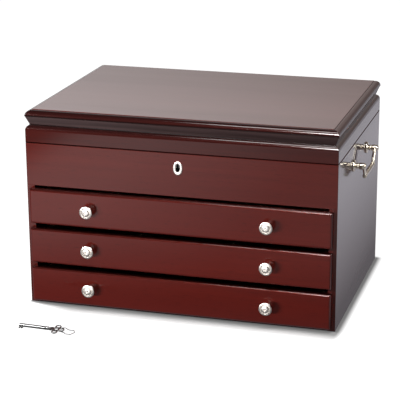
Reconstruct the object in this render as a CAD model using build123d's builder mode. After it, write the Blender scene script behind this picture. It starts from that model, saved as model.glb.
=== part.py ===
"""Locking jewellery chest with a moulded lid, three drawers, side handles and a key.

Millimetres, +Z up. The origin is the middle of the carcase's footprint, on the surface that
the chest stands on. The front faces -Y.
"""
from build123d import *
from math import cos, radians, sin, sqrt
import os

os.makedirs("parts", exist_ok=True)

# Carcase
chest_width = 400.0
chest_depth = 281.0
panel_thickness = 10.0
felt_thickness = 1.0
felt_inset = 3.0
base_thickness = 6.0
shelf_thickness = 5.0
shelf_setback = 12.0
housing_depth = 3.0
compartment_depth = 49.45
front_panel_lap = 5.5
joint_clearance = 0.1
base_setback = 1.0
felt_corner_radius = 4.0
cut_overrun = 1.0

# Drawers
drawer_count = 3
drawer_pitch = 52.25
front_gap = 6.75
front_drop = 1.8
front_reveal = 5.0
front_lip = 7.6
front_face_gap = 0.4
front_edge_radius = 2.6
front_block = 10.0
drawer_top_space = 6.95
drawer_side_thickness = 7.0
drawer_back_space = 1.95
drawer_rear_space = 5.5
drawer_side_clearance = 0.6
running_clearance = 0.3
bottom_thickness = 3.0
bottom_rise = 3.0
bottom_groove = 2.5
side_rabbet = 5.0
drawer_travel = 190.0
stop_drop = 4.5
stop_length = 10.0
stop_width = 30.0
stop_corner_radius = 2.0
back_edge_radius = 1.5

# Linings and dividers
lining_thickness = 1.5
lining_clearance = 0.2
lining_rim = 2.0
divider_thickness = 3.0
divider_height = 24.0
compartment_divider_height = 38.0
soft_clearance = 0.3
ring_bay_width = 130.0
roll_count = 6
roll_pitch = 21.0
roll_height = 22.0
roll_crown = 4.0
roll_draw_in = 1.5
roll_stations = ((0, 1.0), (0.7, 0.98), (1.0, 0.86))

# Lid
lid_height = 41.8
seam_gap = 0.5
apron_height = 15.8
shoulder_radius = 6.5
waist_inset = 4.4
waist_height = 1.4
bevel_height = 10.3
bullnose_radius = 7.5
bullnose_proud = 0.3
nose_step = 0.5
lid_panel_thickness = 8.0
lid_panel_gap = 0.2
lid_panel_chamfer = 0.42
lid_lining_thickness = 1.6
mirror_side_margin = 35.0
mirror_end_margin = 33.0
mirror_thickness = 3.0
mirror_frame_width = 10.0
mirror_frame_thickness = 5.0
mirror_lap = 5.0
mirror_frame_chamfer = 1.2
mirror_gap = 0.5

# Hinges
hinge_spacing = 240.0
hinge_width = 40.0
leaf_thickness = 1.2
leaf_inset = 9.0
barrel_radius = 2.5
barrel_clearance = 0.4
hinge_pin_radius = 1.2
pin_clearance = 0.06
knuckle_gap = 0.2
lid_knuckle_width = 13.0
lid_opening_angle = 95.0
stop_lug_reach = 7.0
stop_lug_thickness = 1.3
stop_flange_drop = 12.0
flange_notch_drop = 4.0

# Small screws
screw_head_radius = 2.2
screw_shank_radius = 1.1
screw_head_depth = 1.1
screw_length = 9.0
screw_clearance = 0.05
hinge_screw_spacing = 26.0

# Lock
keyhole_drop = 18.5
keyhole_width = 5.4
keyhole_height = 10.7
escutcheon_width = 12.0
escutcheon_height = 18.0
escutcheon_proud = 1.0
escutcheon_edge_radius = 0.7
escutcheon_collar = 1.2
escutcheon_depth = 1.6
lock_width = 42.0
lock_height = 25.0
lock_wall = 1.2
lock_setback = 2.5
lock_clearance = 0.3
top_plate_width = 54.0
top_plate_depth = 8.0
top_plate_thickness = 1.5
cover_thickness = 1.2
cover_corner_radius = 2.0
drill_pin_radius = 0.9
drill_pin_length = 4.0
bolt_travel = 3.0
bolt_thickness = 2.2
strike_offset = 0.5
prong_spacing = 18.0
prong_thickness = 2.2
prong_length = 8.2
prong_neck = 3.0
prong_foot = 6.0
prong_foot_height = 2.0
slot_clearance = 0.6
stem_width = 3.4
finger_height = 2.4
lock_screw_spacing = 46.0

# Knobs
knob_spacing = 231.5
knob_radius = 8.25
knob_foot_radius = 4.6
knob_foot_height = 1.0
knob_neck_radius = 3.0
knob_neck_low = 2.4
knob_neck_high = 5.6
knob_flare_radius = 5.1
knob_flare_height = 7.3
knob_rim_low = 8.7
knob_rim_high = 9.5
knob_crest_radius = 6.35
knob_crest_height = 10.4
knob_groove_radius = 5.1
knob_groove_height = 9.7
knob_disc_radius = 4.6
knob_disc_low = 10.6
knob_disc_shoulder = (3.3, 11.7)
knob_projection = 12.0
knob_dimple_radius = 1.2
knob_dimple_depth = 1.1
knob_screw_radius = 1.95
knob_screw_depth = 6.0
screw_bore_clearance = 0.06
knob_screw_head_radius = 3.8
knob_screw_head_height = 2.4
knob_screw_head_bevel = 0.9
counterbore_depth = 3.2

# Side handles
post_spacing = 89.0
post_drop = 26.7
rosette_radius = 7.5
rosette_edge = 0.8
rosette_rise = 2.4
rosette_step_radius = 4.2
rosette_bulge = 0.25
post_neck_radius = 2.6
post_neck_start = 3.8
bead_start = 4.8
bead_radius = 3.6
bead_width = 1.0
bead_slope = 0.4
post_ball_radius = 4.3
ball_neck_radius = 3.0
pivot_projection = 12.0
post_shank_radius = 2.0
post_shank_short = 1.0
bail_pin_radius = 1.5
bail_pin_clearance = 0.08
bail_pin_head_radius = 2.3
bail_pin_head_thickness = 1.0
bail_arm_radius = 1.9
bail_drop = 17.0
bail_arm_foot = 27.0
grip_half_length = 29.5
grip_radius = 3.0
grip_end_radius = 2.6
grip_collar_radius = 2.9
grip_collar_width = 5.0
grip_groove_radius = 2.1
grip_groove_width = 1.6
grip_groove_slope = 0.5
bail_side_gap = 0.3
nut_radius = 4.6
nut_thickness = 3.0

# Key, lying in front of the chest
key_tip_x = -182.0
key_y = -225.6
key_turn = -2.6
key_roll = 7.0
key_axis_height = 2.36
key_shaft_radius = 2.2
key_collar_radius = 2.3
key_bore_radius = 1.05
key_bore_depth = 14.0
key_shaft_length = 41.0
key_collar_places = (35.0, 38.0)
key_collar_width = 1.6
key_bit_offset = 2.0
key_bit_reach = 5.0
key_bit_width = 5.0
key_bit_thickness = 1.7
key_bit_step = 2.0
key_bit_slot = 1.2
key_bit_slot_floor = 2.6
bow_thickness = 1.7
bow_overlap = 1.5
bow_lobe_offset = 6.5
bow_lobe_radius = 4.2
bow_hole_radius = 2.2
bow_centre_radius = 5.0
bow_centre_hole = 2.0
ring_wire_radius = 0.5
ring_length = 17.0
ring_width = 13.0
ring_corner = 2.5
ring_near_corner = 3.0
ring_side_step = 0.8
ring_cross = 3.2
ring_over_offset = 1.5
ring_through = (-0.4, -1.1)
ring_clearance = 0.15
ring_floor_gap = 0.03
ring_end_gap = 0.4
ring_bend_radius = 1.0

# Worked out from the values above
half_width = chest_width / 2
half_depth = chest_depth / 2
inner_half_width = half_width - panel_thickness
inner_half_depth = half_depth - panel_thickness


def running_level(index):
    """Height of the board on which a drawer runs, counted from the lowest drawer."""
    return felt_thickness + base_thickness + index * drawer_pitch


carcase_top = running_level(drawer_count) + compartment_depth
lid_bottom = carcase_top + seam_gap
lid_top = lid_bottom + lid_height
front_panel_bottom = running_level(drawer_count) - front_panel_lap
front_height = drawer_pitch - front_gap
drawer_side_height = drawer_pitch - shelf_thickness - running_clearance - drawer_top_space
drawer_back_height = drawer_pitch - shelf_thickness - running_clearance - drawer_back_space
front_width = chest_width - 2 * front_reveal
drawer_half_width = inner_half_width - drawer_side_clearance
drawer_inner_half = drawer_half_width - drawer_side_thickness
block_front = -half_depth - front_face_gap
block_rear = block_front + front_block
drawer_rear = inner_half_depth - drawer_rear_space
drawer_back_front = drawer_rear - drawer_side_thickness
face_y = block_front - front_lip
keyhole_z = carcase_top - keyhole_drop
pin_y = half_depth + barrel_clearance + barrel_radius
pin_z = carcase_top + seam_gap / 2
post_height = carcase_top - post_drop
mirror_width = 2 * (inner_half_width - mirror_side_margin)
mirror_depth = 2 * (inner_half_depth - mirror_end_margin)


def save(part, name):
    """Label a finished piece and write it to its own file."""
    part.label = name
    export_step(part, f"parts/{name}.step")


def block(low, high, mode=Mode.ADD):
    """Add or cut a square block between two opposite corners."""
    size = [h - l for l, h in zip(low, high)]
    middle = [(h + l) / 2 for l, h in zip(low, high)]
    with Locations(tuple(middle)):
        Box(*size, mode=mode)


def mitre_plane(outward, run):
    """Upright plane through a corner of the outline, halving the angle between two sides."""
    corner = Vector(outward[0] * half_width + run[0] * half_width,
                    outward[1] * half_depth + run[1] * half_depth, 0)
    normal = Vector(run[0] - outward[0], run[1] - outward[1], 0)
    return Plane(origin=corner, z_dir=normal)


def cut_mitres(outward, run):
    """Cut both ends of the board being built to its corner planes."""
    for end in (1, -1):
        along = (run[0] * end, run[1] * end)
        split(bisect_by=mitre_plane(outward, along), keep=Keep.BOTTOM)


def leaf_locations():
    """Middles of the two hinges along X."""
    return (-hinge_spacing / 2, hinge_spacing / 2)


def screw_places():
    """X and Y of the hinge screws, seen from above."""
    y = half_depth - leaf_inset / 2
    return [(x + side * hinge_screw_spacing / 2, y) for x in leaf_locations() for side in (-1, 1)]


def knob_places(index):
    """Middles of a drawer's two knobs on its face."""
    z = running_level(index) - front_drop + front_height / 2
    return [(-knob_spacing / 2, face_y, z), (knob_spacing / 2, face_y, z)]


# Side panels, mitred to the back over their full height and to the upper front panel above the
# drawers, with housings for the shelves and the compartment floor
def side_panel(side):
    """Left (-1) or right (+1) side panel."""
    with BuildPart() as panel:
        low = (side * inner_half_width, -half_depth, felt_thickness)
        high = (side * half_width, half_depth, carcase_top)
        block([min(a, b) for a, b in zip(low, high)], [max(a, b) for a, b in zip(low, high)])
        split(bisect_by=mitre_plane((side, 0), (0, 1)), keep=Keep.BOTTOM)
        with BuildSketch(Plane.XY.offset(front_panel_bottom)):
            with BuildLine():
                Polyline((side * inner_half_width, -inner_half_depth),
                         (side * half_width, -half_depth),
                         (side * inner_half_width, -half_depth), close=True)
            make_face()
        extrude(amount=carcase_top - front_panel_bottom, mode=Mode.SUBTRACT)
        for index in range(1, drawer_count + 1):
            top = running_level(index)
            front = -half_depth + shelf_setback if index < drawer_count else -inner_half_depth
            x_low, x_high = sorted((side * (inner_half_width - cut_overrun),
                                    side * (inner_half_width + housing_depth)))
            block((x_low, front - joint_clearance, top - shelf_thickness - joint_clearance),
                  (x_high, inner_half_depth, top), mode=Mode.SUBTRACT)
        for y in (-post_spacing / 2, post_spacing / 2):
            outside = Plane(origin=(side * half_width, y, post_height), z_dir=(side, 0, 0))
            with BuildSketch(outside):
                Circle(post_shank_radius + screw_clearance)
            extrude(amount=-panel_thickness, mode=Mode.SUBTRACT)
            with BuildSketch(outside.offset(-panel_thickness)):
                Circle(nut_radius + lock_clearance)
            extrude(amount=nut_thickness + joint_clearance, mode=Mode.SUBTRACT)
    return panel.part


save(side_panel(-1), "side_panel_left")
save(side_panel(1), "side_panel_right")

# Back panel, mitred at both ends, with a shallow recess in its top edge for each hinge leaf
with BuildPart() as back_panel:
    block((-half_width, inner_half_depth, felt_thickness), (half_width, half_depth, carcase_top))
    cut_mitres((0, 1), (1, 0))
    for x in leaf_locations():
        block((x - hinge_width / 2 - joint_clearance, half_depth - leaf_inset - joint_clearance,
               carcase_top - leaf_thickness),
              (x + hinge_width / 2 + joint_clearance, half_depth + cut_overrun, carcase_top + cut_overrun),
              mode=Mode.SUBTRACT)
    with Locations(*[(x, y, carcase_top - screw_length / 2) for x, y in screw_places()]):
        Cylinder(screw_shank_radius + screw_clearance, screw_length + cut_overrun, mode=Mode.SUBTRACT)
save(back_panel.part, "back_panel")

# Upper front panel: mitred ends, the lock's mortise in its back and top edge, and the keyhole
mortise_front = -half_depth + lock_setback
plate_y = -inner_half_depth - top_plate_depth / 2
lock_screw_places = (-lock_screw_spacing / 2, lock_screw_spacing / 2)
with BuildPart() as upper_front_panel:
    block((-half_width, -half_depth, front_panel_bottom), (half_width, -inner_half_depth, carcase_top))
    cut_mitres((0, -1), (1, 0))
    block((-lock_width / 2 - lock_clearance, mortise_front, carcase_top - lock_height - lock_clearance),
          (lock_width / 2 + lock_clearance, -inner_half_depth + cut_overrun, carcase_top + cut_overrun),
          mode=Mode.SUBTRACT)
    block((-top_plate_width / 2 - joint_clearance, -inner_half_depth - top_plate_depth - joint_clearance,
           carcase_top - top_plate_thickness),
          (top_plate_width / 2 + joint_clearance, -inner_half_depth + cut_overrun, carcase_top + cut_overrun),
          mode=Mode.SUBTRACT)
    with BuildSketch(Plane(origin=(0, -half_depth, keyhole_z), x_dir=(1, 0, 0), z_dir=(0, -1, 0))):
        SlotOverall(keyhole_height + 2 * escutcheon_collar + 2 * joint_clearance,
                    keyhole_width + 2 * escutcheon_collar + 2 * joint_clearance, rotation=90)
    extrude(amount=-lock_setback - cut_overrun, mode=Mode.SUBTRACT)
    with Locations(*[(x, plate_y, carcase_top - screw_length / 2) for x in lock_screw_places]):
        Cylinder(screw_shank_radius + screw_clearance, screw_length + cut_overrun, mode=Mode.SUBTRACT)
save(upper_front_panel.part, "upper_front_panel")

with BuildPart() as base_panel:
    block((-inner_half_width, -half_depth + base_setback, felt_thickness),
          (inner_half_width, inner_half_depth, felt_thickness + base_thickness))
save(base_panel.part, "base_panel")

with BuildPart() as base_felt:
    with BuildSketch():
        RectangleRounded(chest_width - 2 * felt_inset, chest_depth - 2 * felt_inset, felt_corner_radius)
    extrude(amount=felt_thickness)
save(base_felt.part, "base_felt")

shelf_half_width = inner_half_width + housing_depth - joint_clearance
with BuildPart() as compartment_floor:
    top = running_level(drawer_count)
    block((-shelf_half_width, -inner_half_depth, top - shelf_thickness),
          (shelf_half_width, inner_half_depth, top))
save(compartment_floor.part, "compartment_floor")

with BuildPart() as drawer_shelves:
    for index in range(1, drawer_count):
        top = running_level(index)
        block((-shelf_half_width, -half_depth + shelf_setback, top - shelf_thickness),
              (shelf_half_width, inner_half_depth, top))
save(drawer_shelves.part, "drawer_shelves")

# A block under each board meets the drawer's raised back at the end of its travel
stop_rear = drawer_back_front - drawer_travel - running_clearance
with BuildPart() as drawer_stops:
    for index in range(drawer_count):
        ceiling = running_level(index + 1) - shelf_thickness
        block((-stop_width / 2, stop_rear - stop_length, ceiling - stop_drop),
              (stop_width / 2, stop_rear, ceiling))
    fillet(drawer_stops.edges().filter_by(Axis.Z), stop_corner_radius)
save(drawer_stops.part, "drawer_stops")


# Cloth-covered lining: a thin tray with a floor and four walls
def lining_tray(half_x, y_front, y_rear, floor, wall_top):
    """Add a thin-walled open tray to the piece being built."""
    block((-half_x, y_front, floor), (half_x, y_rear, wall_top))
    block((-half_x + lining_thickness, y_front + lining_thickness, floor + lining_thickness),
          (half_x - lining_thickness, y_rear - lining_thickness, wall_top + cut_overrun), mode=Mode.SUBTRACT)


tray_floor = running_level(drawer_count)
tray_half_x = inner_half_width - lining_clearance
tray_half_y = inner_half_depth - lining_clearance
with BuildPart() as compartment_lining:
    lining_tray(tray_half_x, -tray_half_y, tray_half_y, tray_floor, carcase_top - lining_rim)
    block((-lock_width / 2 - lining_rim, -tray_half_y - cut_overrun, carcase_top - lock_height - lining_rim),
          (lock_width / 2 + lining_rim, -tray_half_y + lining_thickness, carcase_top), mode=Mode.SUBTRACT)
save(compartment_lining.part, "compartment_lining")

# Two long dividers make three bays, and a short one halves each bay
bay_floor = tray_floor + lining_thickness
bay_half_x = tray_half_x - lining_thickness
bay_half_y = tray_half_y - lining_thickness
bay_top = bay_floor + compartment_divider_height
ring_bay_half = ring_bay_width / 2
rolls_length = roll_count * roll_pitch
rolls_front = bay_half_y - rolls_length - soft_clearance
with BuildPart() as compartment_dividers:
    for side in (-1, 1):
        x_low, x_high = sorted((side * ring_bay_half, side * (ring_bay_half + divider_thickness)))
        block((x_low, -bay_half_y, bay_floor), (x_high, bay_half_y, bay_top))
        x_low, x_high = sorted((side * (ring_bay_half + divider_thickness), side * bay_half_x))
        block((x_low, -divider_thickness / 2, bay_floor), (x_high, divider_thickness / 2, bay_top))
    block((-ring_bay_half, rolls_front - divider_thickness - soft_clearance, bay_floor),
          (ring_bay_half, rolls_front - soft_clearance, bay_top))
save(compartment_dividers.part, "compartment_dividers")


def roll_section(scale):
    """Flat-bottomed section of a padded ring roll, with an arched crown."""
    half = (roll_pitch / 2 - soft_clearance / 2) * scale
    shoulder = (roll_height - roll_crown) * scale
    with BuildLine() as outline:
        Polyline((-half, shoulder), (-half + roll_draw_in, 0), (half - roll_draw_in, 0), (half, shoulder))
        ThreePointArc((half, shoulder), (0, roll_height * scale), (-half, shoulder))
    make_face(outline.edges())


with BuildPart() as ring_rolls:
    half_length = ring_bay_half - soft_clearance
    for number in range(roll_count):
        middle = rolls_front + (number + 0.5) * roll_pitch
        for side in (-1, 1):
            for distance, scale in roll_stations:
                origin = (side * distance * half_length, middle, bay_floor + soft_clearance)
                with BuildSketch(Plane(origin=origin, x_dir=(0, 1, 0), z_dir=(1, 0, 0))):
                    roll_section(scale)
            loft(ruled=True)
save(ring_rolls.part, "ring_rolls")

# Lock: an open-backed case with a top plate, its cover, a drill pin and a sliding bolt
case_front = mortise_front + joint_clearance
case_bottom = carcase_top - lock_height
bolt_y = case_front + lock_wall + lock_clearance + bolt_thickness / 2
foot_bottom = lid_bottom - prong_length
finger_bottom = foot_bottom + prong_foot_height + lock_clearance
prong_places = (-prong_spacing / 2, prong_spacing / 2)
keyhole_plane = Plane(origin=(0, case_front, keyhole_z), x_dir=(1, 0, 0), z_dir=(0, -1, 0))
with BuildPart() as lock_case:
    block((-lock_width / 2, case_front, case_bottom),
          (lock_width / 2, -inner_half_depth, carcase_top - top_plate_thickness))
    block((-lock_width / 2 + lock_wall, case_front + lock_wall, case_bottom + lock_wall),
          (lock_width / 2 - lock_wall, -inner_half_depth + cut_overrun, carcase_top - top_plate_thickness),
          mode=Mode.SUBTRACT)
    block((-top_plate_width / 2, -inner_half_depth - top_plate_depth, carcase_top - top_plate_thickness),
          (top_plate_width / 2, -inner_half_depth, carcase_top))
    for x in prong_places:
        block((x - prong_foot / 2 - slot_clearance, bolt_y - prong_thickness / 2 - slot_clearance,
               carcase_top - top_plate_thickness - cut_overrun),
              (x + prong_foot / 2 + slot_clearance, bolt_y + prong_thickness / 2 + slot_clearance,
               carcase_top + cut_overrun), mode=Mode.SUBTRACT)
    with BuildSketch(keyhole_plane):
        SlotOverall(keyhole_height, keyhole_width, rotation=90)
    extrude(amount=-lock_wall, mode=Mode.SUBTRACT)
    with Locations(*[(x, plate_y, carcase_top) for x in lock_screw_places]):
        CounterSinkHole(screw_shank_radius + screw_clearance, screw_head_radius + screw_clearance,
                        depth=top_plate_thickness + cut_overrun)
save(lock_case.part, "lock_case")

with BuildPart() as lock_cover:
    block((-lock_width / 2 + lining_clearance, -inner_half_depth, case_bottom + lining_clearance),
          (lock_width / 2 - lining_clearance, -inner_half_depth + cover_thickness, carcase_top - lining_rim))
    fillet(lock_cover.edges().filter_by(Axis.Y), cover_corner_radius)
    with BuildSketch(Plane(origin=(0, -inner_half_depth, keyhole_z), z_dir=(0, -1, 0))):
        Circle(drill_pin_radius)
    extrude(amount=drill_pin_length)
save(lock_cover.part, "lock_cover")

# The bolt's two bent fingers slide over the feet of the strike's prongs
with BuildPart() as lock_bolt:
    bar_top = foot_bottom - lock_clearance * 2
    bar_bottom = keyhole_z + keyhole_height / 2 + lock_clearance
    y_low, y_high = bolt_y - bolt_thickness / 2, bolt_y + bolt_thickness / 2
    stem_right = -prong_foot / 2 - bolt_travel - lock_clearance
    left = prong_places[0] + stem_right - stem_width
    right = prong_places[1] + stem_right
    finger_top = finger_bottom + finger_height
    block((left, y_low, bar_bottom), (right, y_high, bar_top))
    for x in prong_places:
        block((x + stem_right - stem_width, y_low, bar_top), (x + stem_right, y_high, finger_top))
        block((x + stem_right, y_low, finger_bottom),
              (x - prong_foot / 2 - lock_clearance, y_high, finger_top))
save(lock_bolt.part, "lock_bolt")

# Oval keyhole plate, domed to the front, with a collar in the panel
with BuildPart() as escutcheon:
    face = Plane(origin=(0, -half_depth, keyhole_z), x_dir=(1, 0, 0), z_dir=(0, -1, 0))
    with BuildSketch(face):
        SlotOverall(escutcheon_height, escutcheon_width, rotation=90)
    extrude(amount=escutcheon_proud)
    fillet(escutcheon.faces().sort_by(Axis.Y)[0].edges(), escutcheon_edge_radius)
    with BuildSketch(face):
        SlotOverall(keyhole_height + 2 * escutcheon_collar, keyhole_width + 2 * escutcheon_collar,
                    rotation=90)
    extrude(amount=-escutcheon_depth)
    with BuildSketch(face.offset(escutcheon_proud)):
        SlotOverall(keyhole_height, keyhole_width, rotation=90)
    extrude(amount=-escutcheon_proud - escutcheon_depth, mode=Mode.SUBTRACT)
save(escutcheon.part, "escutcheon")


def polar_point(centre, radius, degrees):
    """Point on a circle, counted from the sketch's X axis."""
    return (centre[0] + radius * cos(radians(degrees)), centre[1] + radius * sin(radians(degrees)))


# Lid rim: one moulded section with a plain apron, a rounded shoulder, a narrow waist, a bevel
# and a bullnose, and a rebate at the top for the board, cut to mitres at the corners
def rail_section():
    """Face of the rim's section, X outwards from the outline and Y up."""
    shoulder_start = lid_bottom + apron_height
    shoulder_rise = sqrt(shoulder_radius ** 2 - (shoulder_radius - waist_inset) ** 2)
    waist_low = shoulder_start + shoulder_rise
    waist_high = waist_low + waist_height
    nose_z = waist_high + bevel_height
    nose_end = (-bullnose_radius + bullnose_proud, nose_z + bullnose_radius)
    rebate_z = lid_top - lid_panel_thickness
    shoulder_mid = polar_point((-shoulder_radius, shoulder_start), shoulder_radius, 35)
    nose_mid = polar_point((bullnose_proud - bullnose_radius, nose_z), bullnose_radius, 45)
    with BuildLine() as outline:
        Polyline((-panel_thickness, lid_bottom), (0, lid_bottom), (0, shoulder_start))
        ThreePointArc((0, shoulder_start), shoulder_mid, (-waist_inset, waist_low))
        Polyline((-waist_inset, waist_low), (-waist_inset, waist_high), (bullnose_proud - nose_step, nose_z),
                 (bullnose_proud, nose_z))
        ThreePointArc((bullnose_proud, nose_z), nose_mid, nose_end)
        Polyline(nose_end, (nose_end[0], rebate_z), (-panel_thickness, rebate_z),
                 (-panel_thickness, lid_bottom))
    make_face(outline.edges())


def rail(outward, run):
    """Add one moulded rail with mitred ends to the piece being built."""
    half_out = half_width if outward[0] else half_depth
    half_run = half_width if run[0] else half_depth
    plane = Plane(origin=(outward[0] * half_out, outward[1] * half_out, 0),
                  x_dir=(outward[0], outward[1], 0), z_dir=Vector(*outward, 0).cross(Vector(0, 0, 1)))
    with BuildSketch(plane) as section:
        rail_section()
    extrude(section.sketch, amount=half_run + bullnose_proud + cut_overrun, both=True)
    cut_mitres(outward, run)


rebate_inset = bullnose_radius - bullnose_proud
strike_front = bolt_y - top_plate_depth / 2 + strike_offset
with BuildPart() as lid_front_rail:
    rail((0, -1), (1, 0))
    block((-top_plate_width / 2 - joint_clearance, strike_front - joint_clearance, lid_bottom - cut_overrun),
          (top_plate_width / 2 + joint_clearance, -inner_half_depth + cut_overrun,
           lid_bottom + top_plate_thickness),
          mode=Mode.SUBTRACT)
    with Locations(*[(x, plate_y, lid_bottom + screw_length / 2) for x in lock_screw_places]):
        Cylinder(screw_shank_radius + screw_clearance, screw_length + cut_overrun, mode=Mode.SUBTRACT)
save(lid_front_rail.part, "lid_front_rail")

with BuildPart() as lid_back_rail:
    rail((0, 1), (1, 0))
    for x in leaf_locations():
        block((x - hinge_width / 2 - joint_clearance, half_depth - leaf_inset - joint_clearance,
               lid_bottom - cut_overrun),
              (x + hinge_width / 2 + joint_clearance, half_depth + cut_overrun, lid_bottom + leaf_thickness),
              mode=Mode.SUBTRACT)
    with Locations(*[(x, y, lid_bottom + screw_length / 2) for x, y in screw_places()]):
        Cylinder(screw_shank_radius + screw_clearance, screw_length + cut_overrun, mode=Mode.SUBTRACT)
save(lid_back_rail.part, "lid_back_rail")

with BuildPart() as lid_left_rail:
    rail((-1, 0), (0, 1))
with BuildPart() as lid_right_rail:
    rail((1, 0), (0, 1))
with BuildPart() as lid_side_rails:
    add(lid_left_rail.part)
    add(lid_right_rail.part)
save(lid_side_rails.part, "lid_side_rails")

with BuildPart() as lid_top_panel:
    edge = rebate_inset + lid_panel_gap
    block((-half_width + edge, -half_depth + edge, lid_top - lid_panel_thickness),
          (half_width - edge, half_depth - edge, lid_top))
    chamfer(lid_top_panel.faces().sort_by(Axis.Z)[-1].edges(), lid_panel_chamfer)
save(lid_top_panel.part, "lid_top_panel")

lid_ceiling = lid_top - lid_panel_thickness
mirror_top = lid_ceiling - lid_lining_thickness
with BuildPart() as lid_lining:
    edge = lining_clearance + joint_clearance
    block((-inner_half_width + edge, -inner_half_depth + edge, mirror_top),
          (inner_half_width - edge, inner_half_depth - edge, lid_ceiling))
save(lid_lining.part, "lid_lining")

with BuildPart() as mirror:
    with BuildSketch(Plane.XY.offset(mirror_top - mirror_thickness)):
        Rectangle(mirror_width, mirror_depth)
    extrude(amount=mirror_thickness)
save(mirror.part, "mirror")

with BuildPart() as mirror_frame:
    frame_bottom = mirror_top - mirror_frame_thickness
    outer = 2 * (mirror_frame_width - mirror_lap)
    with BuildSketch(Plane.XY.offset(frame_bottom)):
        Rectangle(mirror_width + outer, mirror_depth + outer)
        Rectangle(mirror_width - 2 * mirror_lap, mirror_depth - 2 * mirror_lap, mode=Mode.SUBTRACT)
    extrude(amount=mirror_frame_thickness)
    chamfer(mirror_frame.faces().sort_by(Axis.Z)[0].edges(), mirror_frame_chamfer)
    with BuildSketch(Plane.XY.offset(mirror_top)):
        Rectangle(mirror_width + mirror_gap, mirror_depth + mirror_gap)
    extrude(amount=-mirror_thickness - joint_clearance, mode=Mode.SUBTRACT)
save(mirror_frame.part, "mirror_frame")

# Strike: a plate in the lid's front rail with two hooked prongs that hang into the lock
with BuildPart() as strike_plate:
    block((-top_plate_width / 2, strike_front, lid_bottom),
          (top_plate_width / 2, -inner_half_depth, lid_bottom + top_plate_thickness))
    y_low, y_high = bolt_y - prong_thickness / 2, bolt_y + prong_thickness / 2
    for x in prong_places:
        block((x + prong_foot / 2 - prong_neck, y_low, foot_bottom), (x + prong_foot / 2, y_high, lid_bottom))
        block((x - prong_foot / 2, y_low, foot_bottom),
              (x + prong_foot / 2, y_high, foot_bottom + prong_foot_height))
    with Locations(*[Plane(origin=(x, plate_y, lid_bottom), z_dir=(0, 0, -1)).location
                     for x in lock_screw_places]):
        CounterSinkHole(screw_shank_radius + screw_clearance, screw_head_radius + screw_clearance,
                        depth=top_plate_thickness + cut_overrun)
save(strike_plate.part, "strike_plate")


# Stop hinges: the carcase leaf carries the outer knuckles and a flange down the back, and the lid
# leaf carries the middle knuckle and the lug that meets the flange when the lid is open
def knuckle(x_low, x_high):
    """Add a barrel along X, centred on the hinge pin."""
    with BuildSketch(Plane(origin=(x_low, pin_y, pin_z), x_dir=(0, 1, 0), z_dir=(1, 0, 0))) as barrel:
        Circle(barrel_radius)
    extrude(barrel.sketch, amount=x_high - x_low)


def pin_hole(x):
    """Bore a hinge's barrel for its pin."""
    with BuildSketch(Plane(origin=(x - hinge_width, pin_y, pin_z), x_dir=(0, 1, 0), z_dir=(1, 0, 0))) as bore:
        Circle(hinge_pin_radius + pin_clearance)
    extrude(bore.sketch, amount=2 * hinge_width, mode=Mode.SUBTRACT)


lid_knuckle_half = lid_knuckle_width / 2
body_knuckle_end = hinge_width / 2
body_knuckle_start = lid_knuckle_half + knuckle_gap
flange_rear = half_depth + barrel_clearance + leaf_thickness
with BuildPart() as hinge_body_leaves:
    for x in leaf_locations():
        block((x - hinge_width / 2, half_depth - leaf_inset, carcase_top - leaf_thickness),
              (x + hinge_width / 2, half_depth + barrel_clearance / 2, carcase_top))
        block((x - hinge_width / 2, half_depth + joint_clearance, carcase_top - stop_flange_drop),
              (x + hinge_width / 2, flange_rear, carcase_top - leaf_thickness))
        for side in (-1, 1):
            x_low, x_high = sorted((x + side * body_knuckle_start, x + side * body_knuckle_end))
            knuckle(x_low, x_high)
            block((x_low, half_depth, carcase_top - leaf_thickness), (x_high, pin_y, carcase_top))
        block((x - body_knuckle_start, half_depth + joint_clearance, carcase_top - flange_notch_drop),
              (x + body_knuckle_start, pin_y + barrel_radius + cut_overrun, carcase_top + cut_overrun),
              mode=Mode.SUBTRACT)
        pin_hole(x)
    with Locations(*[(x, y, carcase_top) for x, y in screw_places()]):
        CounterSinkHole(screw_shank_radius + screw_clearance, screw_head_radius + screw_clearance,
                        depth=leaf_thickness + cut_overrun)
save(hinge_body_leaves.part, "hinge_body_leaves")

lug_face = flange_rear - pin_y + joint_clearance
lug_turn = lid_opening_angle - 90
with BuildPart() as hinge_lid_leaves:
    for x in leaf_locations():
        block((x - hinge_width / 2, half_depth - leaf_inset, lid_bottom),
              (x + hinge_width / 2, half_depth, lid_bottom + leaf_thickness))
        knuckle(x - lid_knuckle_half, x + lid_knuckle_half)
        block((x - lid_knuckle_half, half_depth - leaf_thickness, lid_bottom),
              (x + lid_knuckle_half, pin_y, lid_bottom + leaf_thickness))
        lug_plane = Plane(origin=(x, pin_y, pin_z)).rotated((lug_turn, 0, 0))
        with BuildSketch(lug_plane.offset(lug_face)):
            with Locations((0, stop_lug_reach / 2)):
                Rectangle(lid_knuckle_width, stop_lug_reach)
        extrude(amount=stop_lug_thickness)
        pin_hole(x)
    with Locations(*[Plane(origin=(x, y, lid_bottom), z_dir=(0, 0, -1)).location for x, y in screw_places()]):
        CounterSinkHole(screw_shank_radius + screw_clearance, screw_head_radius + screw_clearance,
                        depth=leaf_thickness + cut_overrun)
save(hinge_lid_leaves.part, "hinge_lid_leaves")

with BuildPart() as hinge_pins:
    for x in leaf_locations():
        with BuildSketch(Plane(origin=(x - hinge_width / 2, pin_y, pin_z), x_dir=(0, 1, 0), z_dir=(1, 0, 0))):
            Circle(hinge_pin_radius)
        extrude(amount=hinge_width)
save(hinge_pins.part, "hinge_pins")


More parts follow.
